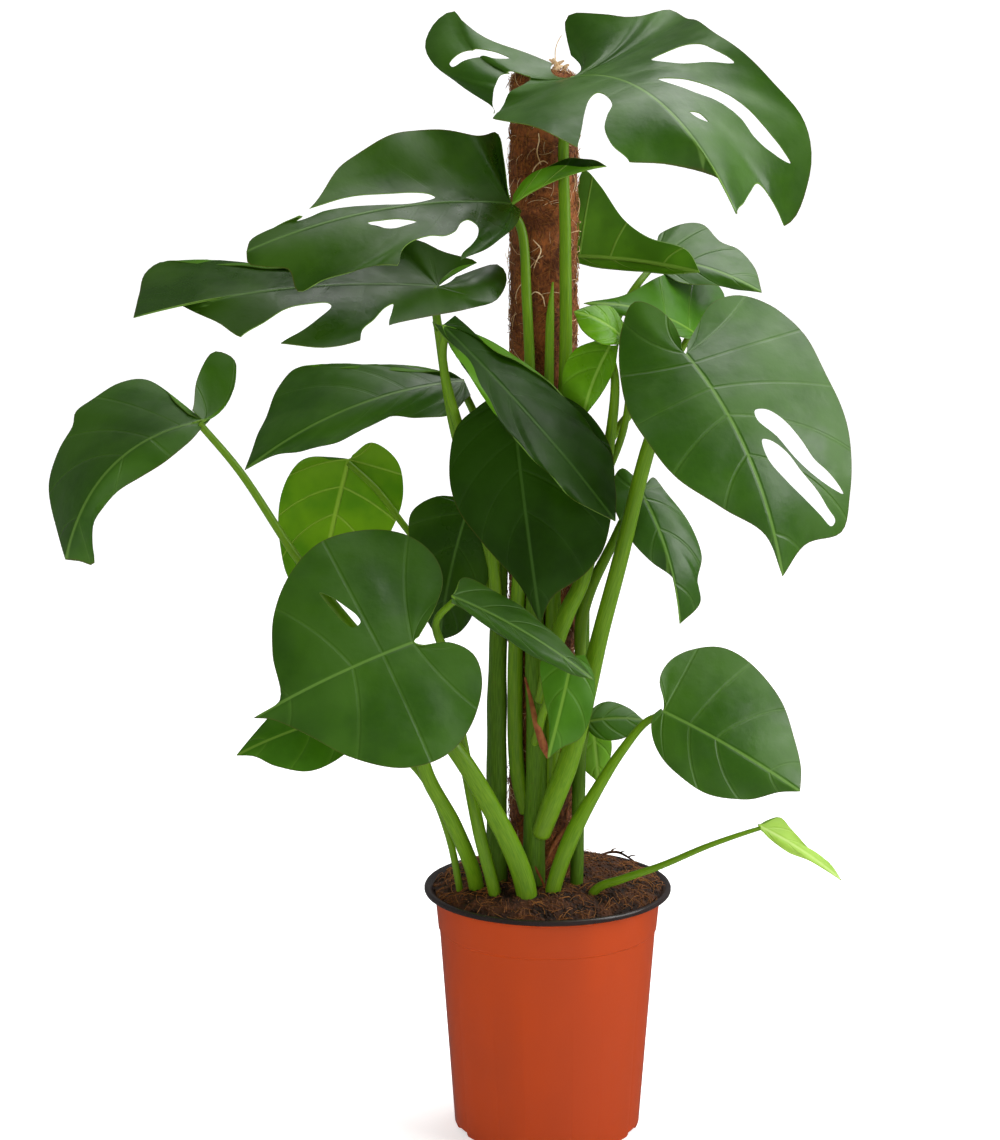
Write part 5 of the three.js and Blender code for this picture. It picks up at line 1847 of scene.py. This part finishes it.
@dataclass
class Pole:
    """The coir pole: an uneven bundle of coconut fibre round a stake."""

    x: float = -5
    y: float = 0
    radius: float = 27
    low: float = 150
    top: float = 893
    crown: float = 2
    shoulder: float = 4.0
    shoulder_height: float = 6
    rings: int = 210
    sides: int = 60
    roughness: float = 1.3
    lumps_round: float = 1.6
    lump_height: float = 18
    finer: float = 2.7
    finer_share: float = 0.6
    crease: float = 80
    brown: Scatter = Scatter(
        "coir_fibres", density=42000, length=15, thickness=0.26, bow=1.7, seed=11, tilt=0.2
    )
    pale: Scatter = Scatter(
        "coir_pale_fibres", density=4200, length=16, thickness=0.22, bow=4.0, seed=23, tilt=0.2
    )

    def swell(self, angle: float, z: float) -> float:
        """How far the fibre stands out at an angle and a height.

        Args:
            angle: Round the pole.
            z: The height.

        Returns:
            Millimetres, below zero where the fibre lies in.
        """
        reach = self.lumps_round
        spot = Vector((math.cos(angle) * reach, math.sin(angle) * reach, z / self.lump_height))
        fine = self.finer_share * noise.noise(spot * self.finer)
        return self.roughness * (noise.noise(spot) + fine)

    def wrap(self) -> Sheet:
        """The uneven surface of the fibre, closed at both ends.

        Returns:
            The closed sheet.
        """
        points = []
        for i in range(self.rings + 1):
            z = self.low + (self.top - self.low) * i / self.rings
            drop = self.shoulder * max(0.0, 1 - (self.top - z) / self.shoulder_height) ** 2
            for angle in turns(self.sides):
                points.append(polar(angle, self.radius + self.swell(angle, z) - drop, z))
        count = len(points)
        points += [(0, 0, self.low), (0, 0, self.top + self.crown)]
        faces = ring_faces(0, self.sides, self.rings + 1, (count, count + 1), turned=True)
        return Sheet(np.array(points) + (self.x, self.y, 0), faces)

    def build(self, finishes: Finishes) -> None:
        """Makes the wrap and its loose fibres, hands them over, and dresses the stake.

        Args:
            finishes: The plant's materials.
        """
        wrap = make_piece("pole_coir_fine", self.wrap(), [finishes.coir], self.crease)
        brown = self.brown.spread(wrap, finishes.strand)
        pale = self.pale.spread(wrap, finishes.pale_strand)
        hand_over(wrap, "coir", "pole_coir")
        hand_over(brown, "coir")
        hand_over(pale, "coir")
        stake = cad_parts["pole_stake"]
        stake.data.materials.clear()
        stake.data.materials.append(finishes.timber)


@dataclass
class Soil:
    """The heaped potting soil, with crumbs and fibres on it.

    The skirt gives the radius and height of the plug's two lower rings, inside the pot.
    """

    level: float = 210
    mound: float = 14
    steepness: float = 5
    ripple: float = 1.2
    radius: float = 97
    skirt: tuple[Span, ...] = ((93.4, 207), (91, 180))
    rings: int = 42
    sides: int = 112
    humps: tuple[int, int] = (3, 7)
    hump_share: float = 0.6
    lumps: float = 9
    lump_level: float = 0.3
    finer: float = 2.6
    rises: Span = (1.6, 0.9)
    crease: float = 60
    crumbs: Scatter = Scatter(
        "soil_crumbs", density=90000, length=3, thickness=1.3, bow=0, seed=5, tilt=3, crumbs=True
    )
    fibres: Scatter = Scatter(
        "soil_fibres", density=26000, length=11, thickness=0.24, bow=3.4, seed=7, tilt=0.5
    )

    def height(self, share: float, angle: float) -> float:
        """The surface's height at a share of the radius.

        Args:
            share: The share of the radius.
            angle: Round the axis.

        Returns:
            The height.
        """
        calm = 4 * share * (1 - share)
        few, many = self.humps
        waves = math.sin(few * angle + 1) + self.hump_share * share * math.sin(many * angle)
        smooth = self.level + self.mound * (1 - share**self.steepness)
        spot = Vector(polar(angle, share, self.lump_level)) * self.lumps
        large, small = self.rises
        rough = smooth + self.ripple * (calm * waves) + large * noise.noise(spot)
        return rough + small * noise.noise(spot * self.finer)

    def heap(self) -> Sheet:
        """The top of the soil and a short closed plug beneath it.

        Returns:
            The closed sheet.
        """
        points = [(0.0, 0.0, self.height(0, 0))]
        for i in range(1, self.rings + 1):
            share = i / self.rings
            for angle in turns(self.sides):
                points.append(polar(angle, self.radius * share, self.height(share, angle)))
        for radius, z in self.skirt:
            points += [polar(angle, radius, z) for angle in turns(self.sides)]
        points.append((0.0, 0.0, self.skirt[-1][1]))
        ends = (0, len(points) - 1)
        faces = ring_faces(1, self.sides, self.rings + len(self.skirt), ends)
        return Sheet(np.array(points), faces)

    def seen(self, heap: Sheet) -> Sheet:
        """The part of the heap that shows from above."""
        count = 1 + self.rings * self.sides
        return Sheet(heap.points[:count], [face for face in heap.faces if max(face) < count])

    def build(self, finishes: Finishes) -> None:
        """Makes the heap with its crumbs and fibres, and hands them over.

        Args:
            finishes: The plant's materials.
        """
        sheet = self.heap()
        heap = make_piece("soil_fine", sheet, [finishes.soil], self.crease)
        top = make_piece("soil_top", self.seen(sheet), [finishes.soil], self.crease)
        crumbs = self.crumbs.spread(top, finishes.crumb)
        fibres = self.fibres.spread(top, finishes.strand)
        bpy.data.objects.remove(top)
        hand_over(heap, "soil", "soil")
        hand_over(crumbs, "soil")
        hand_over(fibres, "soil")


@dataclass
class Pot:
    """The nursery pot: one moulding with a collar, a rolled rim and drainage slots."""

    height: float = 212.5
    rim_radius: float = 105
    rim_depth: float = 4.5
    lip_radius: float = 101
    collar_radius: float = 95.7
    collar_depth: float = 35
    ledge_radius: float = 93.2
    ledge: float = 1.2
    foot_radius: float = 79.5
    wall: float = 1.4
    floor: float = 2.4
    sides: int = 144
    crease: float = 35
    slots: int = 8
    slot_size: Point = (14, 22, 9)

    def profile(self) -> list[tuple[float, float, int]]:
        """The wall's rings as (radius, height, slot), from the base round to the inside floor.

        Returns:
            The rings, up the outside, over the rim and down the inside.
        """
        h, w, k = self.height, self.wall, self.ledge_radius
        under = h - self.rim_depth
        top = under - 1.5
        ledge = h - self.collar_depth
        shell, dark = 0, 1
        return [
            (self.foot_radius - 3, 0, shell),
            (self.foot_radius - 1, 0.8, shell),
            (self.foot_radius, 3, shell),
            (k - self.ledge, ledge - 2.2, shell),
            (k - 0.2, ledge - 1.2, shell),
            (k, ledge, shell),
            (self.collar_radius, top - 2, shell),
            (self.collar_radius + 1.5, top - 0.3, dark),
            (self.rim_radius - 1.4, under - 0.2, dark),
            (self.rim_radius - 0.4, under + 0.5, dark),
            (self.rim_radius, under + 1.6, dark),
            (self.rim_radius, h - 1.6, dark),
            (self.rim_radius - 0.5, h - 0.5, dark),
            (self.rim_radius - 1.6, h, dark),
            (self.lip_radius + 0.6, h, dark),
            (self.lip_radius - 0.4, h - 0.5, dark),
            (self.collar_radius - w + 0.4, under, dark),
            (self.collar_radius - w, top, dark),
            (k - w - 0.1, ledge - 1, dark),
            (k - self.ledge - w - 0.1, ledge - 4, dark),
            (self.foot_radius - w, 6, dark),
            (self.foot_radius - 3.6, self.floor, dark),
        ]

    def shell(self) -> Sheet:
        """The wall turned round the axis, each band with the slot of the ring that it starts at.

        Returns:
            The closed sheet.
        """
        rings = self.profile()
        points = [(0.0, 0.0, 0.0), (0.0, 0.0, self.floor)]
        first = len(points)
        for radius, z, _ in rings:
            points += [polar(angle, radius, z) for angle in turns(self.sides)]
        faces = ring_faces(first, self.sides, len(rings), (0, 1), turned=True)
        ends = [rings[0][2], rings[-1][2]]
        slots = (ends + [slot for _, _, slot in rings[:-1]]) * self.sides
        return Sheet(np.array(points), faces, slots)

    def slot_tool(self, index: int) -> bpy.types.Object:
        """The room of one drainage slot at the foot's corner.

        Args:
            index: Which slot.

        Returns:
            A closed block.
        """
        angle = 2 * math.pi * (index + 0.5) / self.slots
        shape = bmesh.new()
        bmesh.ops.create_cube(shape, size=1)
        turn = Matrix.Rotation(angle, 4, "Z") @ Matrix.Translation((self.foot_radius * MM, 0, 0))
        scale = Matrix.Diagonal((*(s * MM for s in self.slot_size), 1))
        bmesh.ops.transform(shape, matrix=turn @ scale, verts=shape.verts[:])
        mesh = bpy.data.meshes.new("slot")
        shape.to_mesh(mesh)
        shape.free()
        tool = bpy.data.objects.new("slot", mesh)
        bpy.context.scene.collection.objects.link(tool)
        return tool

    def build(self, finishes: Finishes) -> None:
        """Makes the pot and hands it over.

        Args:
            finishes: The plant's materials.
        """
        materials = [finishes.shell, finishes.rim]
        piece = make_piece("pot_fine", self.shell(), materials, self.crease)
        cut_away(piece, [self.slot_tool(i) for i in range(self.slots)])
        sharpen(piece.data, self.crease)
        hand_over(piece, "pot", "pot")


# ---------------------------------------------------------------- studio


@dataclass(frozen=True)
class Lamp:
    """A square soft light that looks at the middle of the plant."""

    name: str
    place: Point
    power: float
    size: float
    glossy: bool = True
    aim: Point = (0, 0, 0.5)

    def build(self) -> None:
        """Adds the light."""
        lamp = bpy.data.lights.new(self.name, "AREA")
        lamp.energy = self.power
        lamp.size = self.size
        holder = bpy.data.objects.new(self.name, lamp)
        holder.location = self.place
        look = Vector(self.aim) - Vector(self.place)
        holder.rotation_euler = look.to_track_quat("-Z", "Y").to_euler()
        holder.visible_glossy = self.glossy
        bpy.context.scene.collection.objects.link(holder)


@dataclass
class Studio:
    """A pale floor that bends up into a backdrop, soft lights and the camera.

    The camera's place is in millimetres, as the plant's sizes are, and the rest is metres.
    """

    camera_place: Point = (-40.5, -2320, 923)
    camera_pitch: float = 10.7
    lens: float = 89.37
    sensor: float = 36
    floor_width: float = 12
    floor_front: float = -4
    floor_back: float = 3
    bend: float = 1.5
    bend_steps: int = 12
    wall_height: float = 5
    crease: float = 60
    white: Colour = (0.94, 0.94, 0.94, 1)
    roughness: float = 0.9
    world: float = 0.14
    floor_glow: float = 0.52
    lamps: tuple[Lamp, ...] = (
        Lamp("key", (2.3, -0.7, 1.6), power=66, size=1.9),
        Lamp("fill", (-0.9, -2.8, 1.5), power=34, size=1.7, glossy=False),
        Lamp("top", (0.75, 0.5, 2.7), power=62, size=2.2),
    )

    def floor(self) -> None:
        """Makes the floor and the backdrop in one sheet."""
        steps = [(self.floor_front, 0.0), (self.floor_back, 0.0)]
        for i in range(1, self.bend_steps + 1):
            angle = math.pi / 2 * i / self.bend_steps
            out, up = self.bend * math.sin(angle), self.bend * (1 - math.cos(angle))
            steps.append((self.floor_back + out, up))
        steps.append((self.floor_back + self.bend, self.wall_height))
        half = self.floor_width / 2 / MM
        points = [(x, y / MM, z / MM) for y, z in steps for x in (-half, half)]
        faces = [(2 * i, 2 * i + 1, 2 * i + 3, 2 * i + 2) for i in range(len(steps) - 1)]
        finish = {"Base Color": self.white, "Roughness": self.roughness, GLOSS: 0.0}
        glow = {"Emission Color": self.white, "Emission Strength": self.floor_glow}
        material = Graph("studio_floor").surface({**finish, **glow})
        sheet = Sheet(np.array(points, float), faces)
        piece = make_piece("studio_floor", sheet, [material], self.crease)
        piece.visible_glossy = False

    def camera(self) -> None:
        """Sets the camera where the photograph seems to be taken from."""
        camera = bpy.data.cameras.new("camera")
        camera.sensor_width = self.sensor
        camera.lens = self.lens
        holder = bpy.data.objects.new("camera", camera)
        holder.location = Vector(self.camera_place) * MM
        holder.rotation_euler = (math.radians(90 - self.camera_pitch), 0, 0)
        bpy.context.scene.collection.objects.link(holder)
        bpy.context.scene.camera = holder

    def build(self) -> None:
        """Sets up world, floor, lights and camera."""
        scene = bpy.context.scene
        scene.view_settings.view_transform = "Standard"
        world = bpy.data.worlds.new("studio")
        world.use_nodes = True
        sky = world.node_tree.nodes["Background"].inputs
        sky["Color"].default_value = (1, 1, 1, 1)
        sky["Strength"].default_value = self.world
        scene.world = world
        self.floor()
        for lamp in self.lamps:
            lamp.build()
        self.camera()


# ---------------------------------------------------------------- the plant


def main() -> None:
    """Builds the plant in order."""
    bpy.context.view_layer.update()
    finishes = Finishes()
    Studio().build()
    Pot().build(finishes)
    Soil().build(finishes)
    Pole().build(finishes)
    Stems(STEMS).build(finishes)
    NewLeaf().build(finishes)
    Trim().build(finishes)
    Stalks(STALKS, LEAVES).build(finishes)
    Foliage(LEAVES).build(finishes)


if __name__ == "__main__":
    logging.basicConfig(level=logging.INFO, format="%(message)s")
    main()
